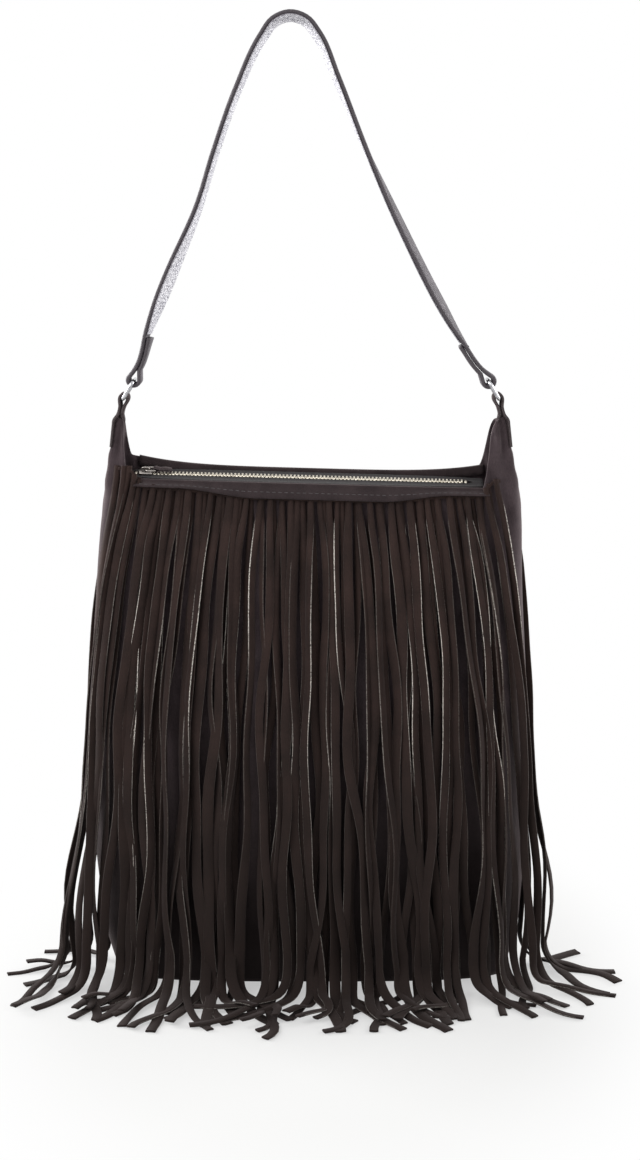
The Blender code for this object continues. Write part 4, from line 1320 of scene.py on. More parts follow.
@dataclass
class FringeComb(Assembly):
    """A strip cut into long strands that hang, bend at the ground and splay their tips.

    Strands lie on two levels in turn. The limits of a chance value are in tops, bends, toes
    and widths, and stray, lean, gather, turn and splay are standard deviations.
    """

    name: str
    node: str
    first: float
    last: float
    phase: float
    level: int
    side: Side
    seed: int
    pitch: float = 0.0073
    width: float = 0.0074
    widths: tuple[float, float] = (0.74, 1.12)
    thickness: float = 0.0015
    clearance: float = 0.0019
    level_pitch: float = 0.0020
    pressed_pitch: float = 0.00125
    header: float = 0.0024
    header_thickness: float = 0.0008
    hang_rows: int = 34
    bend_rows: int = 9
    toe_rows: int = 9
    under_rim: float = 0.0072
    band_rise: float = 0.0048
    ear_rise: tuple[float, float] = (0.014, 0.012)
    ear_slope: tuple[float, float] = (0.122, 0.138)
    tops: tuple[float, float] = (-0.0012, 0.0005)
    bends: tuple[float, float] = (0.012, 0.032)
    toes: tuple[float, float] = (0.026, 0.070)
    flare_front: float = 0.007
    flare_side: float = 0.030
    forward: float = 0.036
    stray: float = 0.0011
    meander: float = 0.0048
    shared: float = 0.0075
    lean: float = 0.0042
    gather: float = 0.0021
    turn: float = 0.68
    most_turn: float = 1.25
    splay: float = 0.50

    def starts(self) -> Array:
        """Distances along the mouth where the strands begin.

        Returns:
            One distance for each strand.
        """
        count = int((self.last - self.first) / self.pitch)
        spare = (self.last - self.first) - (count - 1) * self.pitch
        return self.first + spare * self.phase + np.arange(count) * self.pitch

    def header_top(self, along: Array) -> Array:
        """The strands' upper ends: under the band in front, and rising up the ears beside it.

        Args:
            along: shares along the outline.

        Returns:
            The ends' heights.
        """
        edge, _ = WALL.place(along, np.full_like(along, WALL.mouth_height), 0.0, self.side)
        x = edge[..., 0]
        rim = WALL.rim(np.clip(x, -MouthBinding.end, MouthBinding.end), Side.FRONT)
        rise = self.band_rise * band_end(x)
        rise = rise + np.where(x < 0, *self.ear_rise) * ease(*self.ear_slope, np.abs(x))
        return rim - self.under_rim + rise * (self.side is Side.FRONT)

    def lay_out(self) -> Lay:
        """Where each strand starts, and how long it hangs, bends and lies on the ground.

        Returns:
            The strands.
        """
        random = np.random.default_rng(self.seed)
        starts = self.starts()[:, None]
        one = starts.shape
        starts = starts + np.clip(random.normal(0.0, self.stray, one), -2 * self.stray, 2 * self.stray)
        share = starts / WALL.mouth_run()
        level = self.level + np.arange(len(starts))[:, None] % 2
        top = self.header_top(share) + random.uniform(*self.tops, one)
        bend = random.uniform(*self.bends, one)
        rightward = np.clip(2 * share - 1.0, 0.0, 1.0)
        longer = 1.0 - 0.32 * np.abs(2 * share - 1.0) + 0.75 * rightward**5
        toe = random.uniform(*self.toes, one) * longer
        lift = 0.0008 + self.thickness / 2 + self.thickness * level * 1.1
        hang = top - bend - lift
        arc = bend * math.pi / 2
        hanging = hang * np.linspace(0.0, 1.0, self.hang_rows)
        bending = hang + arc * np.linspace(0.0, 1.0, self.bend_rows + 1)[1:]
        lying = hang + arc + toe * np.linspace(0.0, 1.0, self.toe_rows + 1)[1:]
        at = np.concatenate((hanging, bending, lying), axis=1)
        return Lay(random, starts, share, level, top, bend, toe, lift, hang, at)

    def along(self, lay: Lay) -> Array:
        """Shares of the outline that the strands pass: they meander, lean and gather.

        Args:
            lay: the strands.

        Returns:
            The shares, (strands, rows).
        """
        random, starts, drop = lay.random, lay.starts, lay.drop
        run = WALL.mouth_run()
        calm = np.clip(np.minimum(starts, run - starts) / 0.05, 0.25, 1.0)
        meander = self.meander * waves(random, lay.at, (0.44, 0.21, 0.12)) * lay.freedom
        shared = self.shared * (np.sin(2 * math.pi * starts / 0.11 + 1.7 * self.level) * drop**1.5)
        lean = random.normal(0.0, self.lean, lay.one) * drop**1.3
        gather = random.normal(0.0, self.gather, lay.one) * ease(0.0, 0.12, drop)
        together = np.sin(2 * math.pi * starts / 0.029 + 2.1 * self.level)
        gather += self.gather * together * ease(0.0, 0.16, drop)
        sway = calm * (meander + shared + lean + gather)
        return lay.share + (sway - sway[:, :1]) / run

    def slack(self, lay: Lay) -> Array:
        """How far the strands stand off: they flare at the ground, and hang loose at the sides.

        Args:
            lay: the strands.

        Returns:
            The distances, (strands, rows).
        """
        random, sideways, below = lay.random, lay.sideways, lay.below
        flare = (self.flare_side - self.flare_front) * random.uniform(0.35, 1.1, lay.one)
        spread = (self.flare_front + flare * sideways**6) * below
        loose = waves(random, lay.at, (0.21, 0.11)) * lay.freedom * (0.0007 + 0.0032 * below)
        loose += 0.008 * sideways**8 * below * random.uniform(-1.0, 1.0, lay.one)
        loop = 0.021 * sideways**10 * bump_at(0.07, 0.050, lay.height)
        return spread + loose + loop * random.uniform(0.0, 1.0, lay.one)

    def twist(self, lay: Lay) -> Array:
        """Each strand's turn about its own line, which fades where it lies down.

        Args:
            lay: the strands.

        Returns:
            The angles in radians, (strands, rows).
        """
        random, drop = lay.random, lay.drop
        twist = waves(random, lay.at, (0.42, 0.22)) * ease(0.0, 0.14, drop) * 0.62
        settled = ease(0.0, 0.10, drop) * (1.0 - 0.45 * ease(0.4, 0.9, drop))
        twist += settled * random.normal(0.0, self.turn, lay.one)
        twist += ease(0.10, 0.40, drop) * lay.sideways**5 * random.uniform(-1.2, 1.2, lay.one)
        return self.most_turn * np.tanh(twist / self.most_turn) * (1.0 - ease(0.2, 1.3, lay.angle) * 0.85)

    def offset(self, lay: Lay, twist: Array) -> Array:
        """How far the levels lie from the wall: pressed on it at the top, and free below.

        Args:
            lay: the strands.
            twist: each strand's turn, which needs room.

        Returns:
            The distances, (strands, rows).
        """
        free = ease(0.0, 0.055, lay.top - lay.height)
        pressed = 0.0004 + lay.level * self.pressed_pitch
        loose = self.clearance + lay.level * self.level_pitch + 0.0024 * np.abs(np.sin(twist))
        return self.thickness / 2 + pressed * (1.0 - free) + loose * free

    def walk(self, lay: Lay, facing: Array) -> Array:
        """The way over the ground from the heel on: outwards and splayed, forward at the sides.

        Args:
            lay: the strands.
            facing: the wall's outward directions beside them.

        Returns:
            How far each point has gone, (strands, rows, 3).
        """
        splay = lay.random.normal(0.0, self.splay, lay.one) + 0.5 * np.sin(2 * math.pi * lay.starts / 0.083)
        splay = (splay + waves(lay.random, lay.at, (0.12, 0.07)) * 0.85) * (1.0 - 0.4 * lay.sideways)
        pull = lay.sideways**4 * (0.8 if self.side is Side.FRONT else 1.05)
        heel = facing[:, self.hang_rows - 1 : self.hang_rows]
        out = unit(heel - SIDEWAYS * pull[..., None])
        beside = np.cross(UP, out)
        turned = (splay * ease(0.0, 1.0, (lay.at - lay.hang) / (lay.bend * 2.5)))[..., None]
        way = np.cos(turned) * out + np.sin(turned) * beside
        return running_sum((np.sin(lay.middle) * lay.step)[..., None] * (way[:, 1:] + way[:, :-1]) / 2, 1)

    def settled(self, lay: Lay) -> Array:
        """Heights with the feet on the floor: each level sinks to it in ripples, and some tips curl.

        Args:
            lay: the strands.

        Returns:
            The heights, (strands, rows).
        """
        tip = ease(0.0, 1.0, (lay.at - lay.hang - lay.bend * 1.2) / lay.toe)
        sunk = lay.lift * (1 - tip) + (self.thickness / 2 + 0.0004) * tip
        ripple = 0.0012 * (1.0 + waves(lay.random, lay.at, (0.05, 0.03))) * tip * (1 - tip)
        curl = 0.007 * tip**2 * np.clip(lay.random.uniform(-1.6, 1.0, lay.one), 0.0, 1.0)
        lying = lay.height - lay.lift + sunk + np.maximum(ripple, 0.0)
        height = np.where(lay.angle > 0, lying, lay.height) + curl
        return np.maximum(height, self.thickness / 2 + 0.0003)

    def strands(self) -> Shape:
        """All the strands of the comb, as one shape.

        Returns:
            The shape, without cut edges at its ends.
        """
        lay = self.lay_out()
        along = self.along(lay)
        slack = self.slack(lay)
        twist = self.twist(lay)
        held = np.maximum(lay.height, WALL.belly_height)
        offset = self.offset(lay, twist) + slack + WALL.side_fill(along, held)
        place, facing = WALL.place(along, held, offset, self.side)
        place[..., 1] -= self.forward * lay.below * (self.side is Side.BACK)
        heel = self.hang_rows - 1
        place[:, heel + 1 :] = place[:, heel : heel + 1]
        centres = place + self.walk(lay, facing)
        centres[..., 2] = self.settled(lay)
        tangent = unit(np.gradient(centres, axis=1))
        outward = facing * np.cos(lay.angle)[..., None] + UP * np.sin(lay.angle)[..., None]
        across = unit(np.cross(outward, tangent))
        through = np.cross(tangent, across)
        cosine, sine = np.cos(twist)[..., None], np.sin(twist)[..., None]
        width = self.width * lay.random.uniform(*self.widths, lay.one)
        width = width * (1 + 0.06 * waves(lay.random, lay.at, (0.06,)))
        width = width * (0.66 + 0.34 * ease(0.0, 0.12, lay.drop))
        cup = -0.0019 * (1.0 - ease(0.0, 0.30, lay.drop))
        cup = cup - 0.0008 * waves(lay.random, lay.at, (0.25,)) * lay.freedom
        turned_across = across * cosine + through * sine
        turned_through = through * cosine - across * sine
        shape = strip(centres, turned_across, turned_through, width, self.thickness, cup)
        cut = shape.cut.reshape(len(width), width.shape[1] + 2, -1)
        cut[:, :3] = 0.0
        cut[:, -2:] = 0.0
        return shape

    def header_strip(self) -> Shape:
        """The uncut upper edge of the strip, a thin curved sheet that the strands hang from.

        Returns:
            The sheet.
        """
        starts, half = self.starts(), self.width / 2
        along = np.linspace(starts[0] - half, starts[-1] + half, 160) / WALL.mouth_run()
        level = np.linspace(1.0, 0.0, 6)[:, None]
        height = self.header_top(along) - 0.0015 - self.header * level
        along = np.broadcast_to(along, height.shape)
        middle = 0.0002 + self.level * self.pressed_pitch + self.thickness / 2
        outer, _ = WALL.place(along, height, middle + self.header_thickness / 2, self.side)
        inner, _ = WALL.place(along, height, middle - self.header_thickness / 2, self.side)
        shape = thick_sheet(outer, inner)
        shape.cut[:] = 0.0
        return shape

    def build(self) -> None:
        """Makes the comb."""
        shape = self.strands().joined(self.header_strip())
        self.add(self.name, shape, FRINGE_SUEDE, "bag", "fringe_suede", self.node)


def zip_matrix() -> tuple[Array, Array]:
    """The zip's own directions and its middle: tilted to the front and sloping to the right.

    Returns:
        The directions, one a column, and the middle.
    """
    slope, tilt = WALL.zip_slope, WALL.zip_tilt
    ahead = (math.cos(slope), 0.0, math.sin(slope)), (0.0, 1.0, 0.0), (-math.sin(slope), 0.0, math.cos(slope))
    leaned = (1.0, 0.0, 0.0), (0.0, math.cos(tilt), -math.sin(tilt)), (0.0, math.sin(tilt), math.cos(tilt))
    return np.array(ahead) @ np.array(leaned), WALL.mouth_height * UP


def zip_points(points: Array) -> Array:
    """Points given along the zip, across it and up from it, put into the bag's frame."""
    turn, middle = zip_matrix()
    return np.asarray(points, float) @ turn.T + middle


@dataclass
class Zip(Assembly):
    """Two rows of shaped teeth on beaded tapes, with a stop at each end."""

    start: float = -0.130
    end: float = 0.118
    pitch: float = 0.0028
    reach: float = 0.0024
    bar: float = 0.0016
    height: float = 0.0026
    tape: float = 0.0080
    tape_thickness: float = 0.0007
    overrun: tuple[float, float] = (0.004, 0.0115)
    stop: float = 0.0022
    binding_lift: float = 0.0012

    def count(self) -> int:
        """How many teeth each row has."""
        return int((self.end - self.start) / self.pitch) - 1

    def teeth(self, side: Side) -> Shape:
        """One row of teeth: rounded blocks, thick at the clamp and narrow at the tip.

        A point's place along is the narrowing half width times a squared-off cosine, its place
        up a squared-off sine of the same turn, and each ring is one step across.

        Args:
            side: the front or the back.

        Returns:
            The row.
        """
        across = np.array((3.15, 3.05, 2.5, 1.6, 0.6, -0.1, -0.8, -1.1)) / 1000
        width = np.array((0.30, 0.75, 0.90, 0.90, 0.62, 0.85, 0.72, 0.22)) / 1000
        tall = np.array((0.5, 1.15, 1.32, 1.30, 1.0, 1.0, 0.85, 0.3)) / 1000
        turn = 2 * math.pi * (np.arange(8) + 0.5) / 8
        ring = np.empty((8, 8, 3))
        ring[..., 0] = width[:, None] * squared_off(np.cos(turn), 0.6)
        ring[..., 1] = side.value * across[:, None]
        ring[..., 2] = tall[:, None] * squared_off(np.sin(turn), 0.6)
        first = self.start + self.pitch * (0.5 if side is Side.FRONT else 1.0)
        shift = np.zeros((self.count(), 1, 1, 3))
        shift[..., 0] = (first + np.arange(self.count()) * self.pitch)[:, None, None]
        rings = zip_points(ring[None] + shift)
        return Shape(rings.reshape(-1, 3), copied(tube_faces(8, 8), self.count(), 64)).outward()

    def binding_face(self, x: Array, side: Side) -> Array:
        """How far the tape may reach before it meets the binding.

        Args:
            x: places along the mouth.
            side: the front or the back.

        Returns:
            The reach from the mouth's middle.
        """
        lift = side.value * WALL.mouth_half_depth * math.sin(WALL.zip_tilt) + self.binding_lift
        height = np.full_like(x, WALL.mouth_height + lift)
        wide, deep, power = WALL.half_width(height), WALL.half_depth(height), WALL.squareness(height)
        outline = deep * (1.0 - (np.abs(x) / wide) ** power) ** (1.0 / power)
        return outline - WALL.suede - 3 * GAP - MouthBinding.thickness

    def tape_sheet(self, side: Side) -> Shape:
        """A woven tape with a rounded bead where the teeth clamp it; past the right stop they meet.

        Args:
            side: the front or the back.

        Returns:
            The tape.
        """
        along = np.linspace(self.start - self.overrun[0], self.end + self.overrun[1], 110)
        near = self.reach / 2 + self.bar + GAP
        far = np.minimum(near + self.tape, self.binding_face(along, side) / math.cos(WALL.zip_tilt))
        near = (GAP + (near - GAP) * (1.0 - ease(self.end, self.end + 0.004, along)))[:, None]
        share = np.linspace(0.0, 1.0, 9)[None, :] ** 1.4
        across = near + (far[:, None] - near) * share
        half = self.tape_thickness / 2 + 0.0002 * bump_at(0.0, 0.12, share) - 0.00008
        sag = -0.0003 * np.sin(math.pi * share) + 0 * across
        along = np.broadcast_to(along[:, None], across.shape)
        across = side.value * across
        faces = [zip_points(np.stack((along, across, sag + way), axis=-1)) for way in (half, -half)]
        return thick_sheet(*faces)

    def stop_block(self, middle: float) -> Shape:
        """A clamped stop: a rounded bar across both rows.

        Args:
            middle: its place along the zip.

        Returns:
            The stop.
        """
        across = np.linspace(-1.0, 1.0, 9)
        round_end = np.sqrt(np.clip(1.0 - across**8, 0.02, 1.0))[:, None]
        turn = 2 * math.pi * (np.arange(12) + 0.5) / 12
        ring = np.empty((9, 12, 3))
        ring[..., 0] = middle + round_end * self.stop / 2 * squared_off(np.cos(turn), 0.5)
        ring[..., 1] = across[:, None] * (self.reach / 2 + self.bar - GAP)
        ring[..., 2] = round_end * self.height / 2 * squared_off(np.sin(turn), 0.5)
        return tube(zip_points(ring))

    def build(self) -> None:
        """Makes the teeth, the tapes and the stops."""
        for side in Side:
            word = side.name.lower()
            teeth, tape = self.teeth(side), self.tape_sheet(side)
            self.add("teeth_" + word, teeth, ZIP_METAL, "bag", "zip_metal", "zip_teeth_" + word)
            self.add("tape_" + word, tape, TAPE_CLOTH, "bag", "tape_cloth", "zip_tape_" + word)
        left = self.start - GAP - self.stop / 2
        right = self.start + (self.count() + 0.5) * self.pitch + GAP + self.stop / 2
        self.add("stop_left", self.stop_block(left), ZIP_METAL, "bag", "zip_metal", "zip_stop_left")
        self.add("stop_right", self.stop_block(right), ZIP_METAL, "bag", "zip_metal", "zip_stop_right")


@dataclass
class Slider(Assembly):
    """The zip's slider in two shells, its bridge, its wire link and the suede lace."""

    rest: float = -0.12445
    length: float = 0.0105
    width: float = 0.0094
    plate: float = 0.0009
    room: float = 0.0017
    lip: float = 0.00075
    inside: float = 0.0032
    bridge_span: float = 0.0064
    bridge_thickness: float = 0.0009
    bridge_width: float = 0.0022
    link_length: float = 0.0088
    link_width: float = 0.0086
    link_wire: float = 0.00065
    lace_length: float = 0.0120
    lace_width: float = 0.0052
    lace_thickness: float = 0.0011

    def shell(self, turned: float) -> Shape:
        """Half the slider: a flanged plate, narrower and lower towards both ends.

        The outside of the section is a squared ellipse, and the inside keeps the teeth's room.

        Args:
            turned: 1 for the upper half and -1 for the lower one.

        Returns:
            The half.
        """
        along = np.array((-0.5, -0.47, -0.38, -0.2, 0.0, 0.2, 0.38, 0.47, 0.5)) * self.length
        pinch = np.array((0.80, 0.88, 0.97, 1.0, 1.0, 1.0, 0.97, 0.88, 0.80))
        turn = np.linspace(0.0, math.pi, 13)
        outer_y = -self.width / 2 * squared_off(np.cos(turn), 0.45)
        outer_z = self.lip + (self.room + self.plate - self.lip) * np.sin(turn) ** 0.55
        inner_y = np.array((1, 1, 1, 0.6, 0.2, -0.2, -0.6, -1, -1, -1, -1)) * self.inside
        inner_z = np.array((0, 0.5, 1, 1, 1, 1, 1, 1, 0.5, 0, 0)) * (self.room - self.lip) + self.lip
        # The last two points would coincide, so one is a little higher
        inner_z[-1] += 0.00001
        section_y = np.concatenate((outer_y, inner_y))
        section_z = np.concatenate((outer_z, inner_z))
        outside = np.arange(len(section_y)) < len(turn)
        drawn_in = (1 - pinch[:, None]) * outside
        rings = np.empty((len(along), len(section_y), 3))
        rings[..., 0] = self.rest + along[:, None]
        rings[..., 1] = section_y * (1 - drawn_in)
        rings[..., 2] = turned * (section_z - drawn_in * 0.0016 * (section_z > self.room))
        return tube(zip_points(rings))

    def top(self) -> float:
        """The height of the slider's upper face over the teeth's middle."""
        return self.room + self.plate

    def link_height(self) -> float:
        """The height of the link's bar under the bridge."""
        return self.top() + GAP + self.link_wire

    def bridge(self) -> Shape:
        """An arched strap of metal over the link's bar: half a turn between two short legs.

        Returns:
            The bridge.
        """
        under = self.link_height() + self.link_wire + GAP
        turn = np.linspace(math.pi, 0.0, 15)
        arch_x = self.bridge_span / 2 * squared_off(np.cos(turn), 0.6)
        arch_z = self.top() - 0.0004 + (under + self.bridge_thickness - self.top()) * np.sin(turn) ** 0.5
        path = np.stack((self.rest + arch_x, 0 * arch_x, arch_z), axis=-1)
        shape = band(path, self.bridge_width, self.bridge_thickness)
        shape.points = zip_points(shape.points)
        return shape

    def link(self) -> Shape:
        """The wire link: a rounded rectangle of wire, its first bar under the bridge.

        Returns:
            The link.
        """
        length, width = self.link_length - 2 * self.link_wire, self.link_width - 2 * self.link_wire
        flat = rounded_loop(length / 2, width / 2, 0.0014, 10)
        level = np.full(len(flat), self.link_height())
        path = np.stack((self.rest + length / 2 + flat[:, 0], flat[:, 1], level), axis=-1)
        return wire(zip_points(path), zip_matrix()[0][:, 2], self.link_wire, 14, True)

    def lace(self) -> Shape:
        """The suede lace folded through the link: out, round its far bar and back under itself.

        Returns:
            The lace.
        """
        bar = self.rest + self.link_length - 2 * self.link_wire
        height = self.link_height()
        radius = self.link_wire + GAP + self.lace_thickness / 2
        leg = (self.lace_thickness + GAP) / 2
        end = self.height_over_teeth() + 2 * leg
        turn = np.linspace(math.pi / 2, 3 * math.pi / 2, 14)
        knee = radius + 2 * leg
        far, near = self.lace_length, self.lace_length * 0.6
        upper = ((far, end + leg), (near, end + 2.2 * leg), (knee, height + leg))
        lower = ((knee, height - leg), (near, end + 0.2 * leg), (far, end - leg))
        loop = np.stack((radius * np.cos(turn), height + radius * np.sin(turn)), axis=-1)
        line = smooth_route(np.concatenate((upper, loop, lower)), 60)
        path = np.stack((bar + line[:, 0], 0 * line[:, 0], line[:, 1]), axis=-1)
        shape = band(path, self.lace_width, self.lace_thickness)
        shape.points = zip_points(shape.points)
        return shape

    def height_over_teeth(self) -> float:
        """The lace's lowest height over the teeth's middle."""
        return Zip.height / 2 + GAP

    def build(self) -> None:
        """Makes the slider, the link and the lace."""
        upper = self.shell(1.0).joined(self.bridge())
        self.add("slider_top", upper, SLIDER_METAL, "slider", "zip_metal", "zip_slider")
        self.add("slider_bottom", self.shell(-1.0), SLIDER_METAL, "slider", "zip_metal", "zip_slider_base")
        self.add("puller_link", self.link(), SLIDER_METAL, "puller", "zip_metal", "zip_puller_link")
        self.add("puller_lace", self.lace(), TRIM_SUEDE, "puller", "fringe_suede", "zip_pull_lace")


def rounded_loop(half_long: float, half_wide: float, corner: float, steps: int) -> Array:
    """A rounded rectangle about the origin, as (long, wide) pairs: a quarter circle at each corner.

    Args:
        half_long: half its length.
        half_wide: half its width.
        corner: the corners' radius.
        steps: steps round each corner.

    Returns:
        An array of (points, 2).
    """
    turn = math.pi / 2 * np.linspace(0.0, 1.0, steps + 1)
    quarters = np.arange(4)[:, None] * math.pi / 2 + turn
    sign_long = np.array((1, -1, -1, 1))[:, None]
    sign_wide = np.array((1, 1, -1, -1))[:, None]
    long_part = sign_long * (half_long - corner) + corner * np.cos(quarters)
    wide_part = sign_wide * (half_wide - corner) + corner * np.sin(quarters)
    return np.stack((long_part, wide_part), axis=-1).reshape(-1, 2)


@dataclass
class StrapRing(Assembly):
    """A polished wire ring: its lower bar lies in the tab, its upper bar in the strap."""

    end: End
    wire_radius: float = 0.0014
    pitch: float = 0.0150
    window: float = 0.0228
    corner: float = 0.0036
    lean: float = math.radians(30.0)
    bar_x: float = 0.1395
    bar_height: float = 0.4465

    def lower(self) -> Array:
        """The lower bar's middle."""
        return np.array((self.end.value * self.bar_x, 0.0, self.bar_height))

    def leaning(self) -> Array:
        """The direction from the lower bar to the upper one."""
        return np.array((-self.end.value * math.sin(self.lean), 0.0, math.cos(self.lean)))

    def upper(self) -> Array:
        """The upper bar's middle."""
        return self.lower() + self.leaning() * self.pitch

    def build(self) -> None:
        """Makes the ring."""
        word = self.end.name.lower()
        flat = rounded_loop(self.pitch / 2, self.window / 2 + self.wire_radius, self.corner, 12)
        way = self.leaning()
        path = self.lower() + way * self.pitch / 2 + flat[:, :1] * way + flat[:, 1:] * SIDEWAYS
        shape = wire(path, np.cross(way, SIDEWAYS), self.wire_radius, 20, True)
        self.add("wire_ring_" + word, shape, RING_METAL, "ring_" + word, "ring_metal", "ring_" + word)


def half_turn(centre: Array, away: Array, side: Array, radius: float, steps: int) -> Array:
    """Points of a half circle from side, over away, to the other side."""
    turn = np.linspace(0.0, math.pi, steps + 1)[:, None]
    return centre + radius * (np.cos(turn) * side + np.sin(turn) * away)


@dataclass
class RingTab(Assembly):
    """The suede strip over a ring's lower bar, its tail inside the ear and its end outside."""

    ring: StrapRing
    width: float = 0.0170
    tail_width: float = 0.0080
    thickness: float = 0.0023
    outer_end: float = 0.4105
    inner_end: float = 0.4060
    inset: float = 0.0012
    clearance: float = 0.0004
    waist: tuple[float, float] = (0.0125, 0.0070)
    rows: int = 110

    def beside(self, first: float, last: float, offset: float) -> Array:
        """Points up or down the ear's side, outside its outer face or inside it.

        Args:
            first: the height of the first point.
            last: the height of the last one.
            offset: how far outside the face they lie.

        Returns:
            An array of (8, 3).
        """
        height = np.linspace(first, last, 8)
        wide = WALL.half_width(height)
        return np.stack((self.ring.end.value * (wide + offset), 0 * wide, height), axis=-1)

    def build(self) -> None:
        """Makes the tab."""
        sign = self.ring.end.value
        word = self.ring.end.name.lower()
        top = WALL.ear_height - GAP
        outer = self.beside(self.outer_end, top, GAP * 2 + self.thickness / 2)
        inner = self.beside(top, self.inner_end, -WALL.suede - GAP - self.thickness / 2 - self.inset)
        bar = self.ring.lower()
        away = unit(bar - (outer[-1] + inner[0]) / 2)
        out = np.array((away[2], 0.0, -away[0])) * sign
        radius = self.ring.wire_radius + self.clearance + self.thickness / 2
        loop = half_turn(bar, away, out, radius, 10)
        waist = bar - away * np.array(self.waist)[:, None]
        close = out * (self.thickness / 2 + GAP / 2)
        corners = np.concatenate((outer, waist + close, loop, waist[::-1] - close, inner))
        share = np.linspace(0.0, 1.0, self.rows)
        width = self.width + (self.tail_width - self.width) * ease(0.62, 0.76, share)
        cup = -0.0006 * sign * (1 - ease(0.2, 0.4, share))
        shape = band(smooth_route(corners, self.rows), width, self.thickness, cup)
        self.add("suede_tab_" + word, shape, TRIM_SUEDE, "bag", "binding_suede", "tab_" + word)


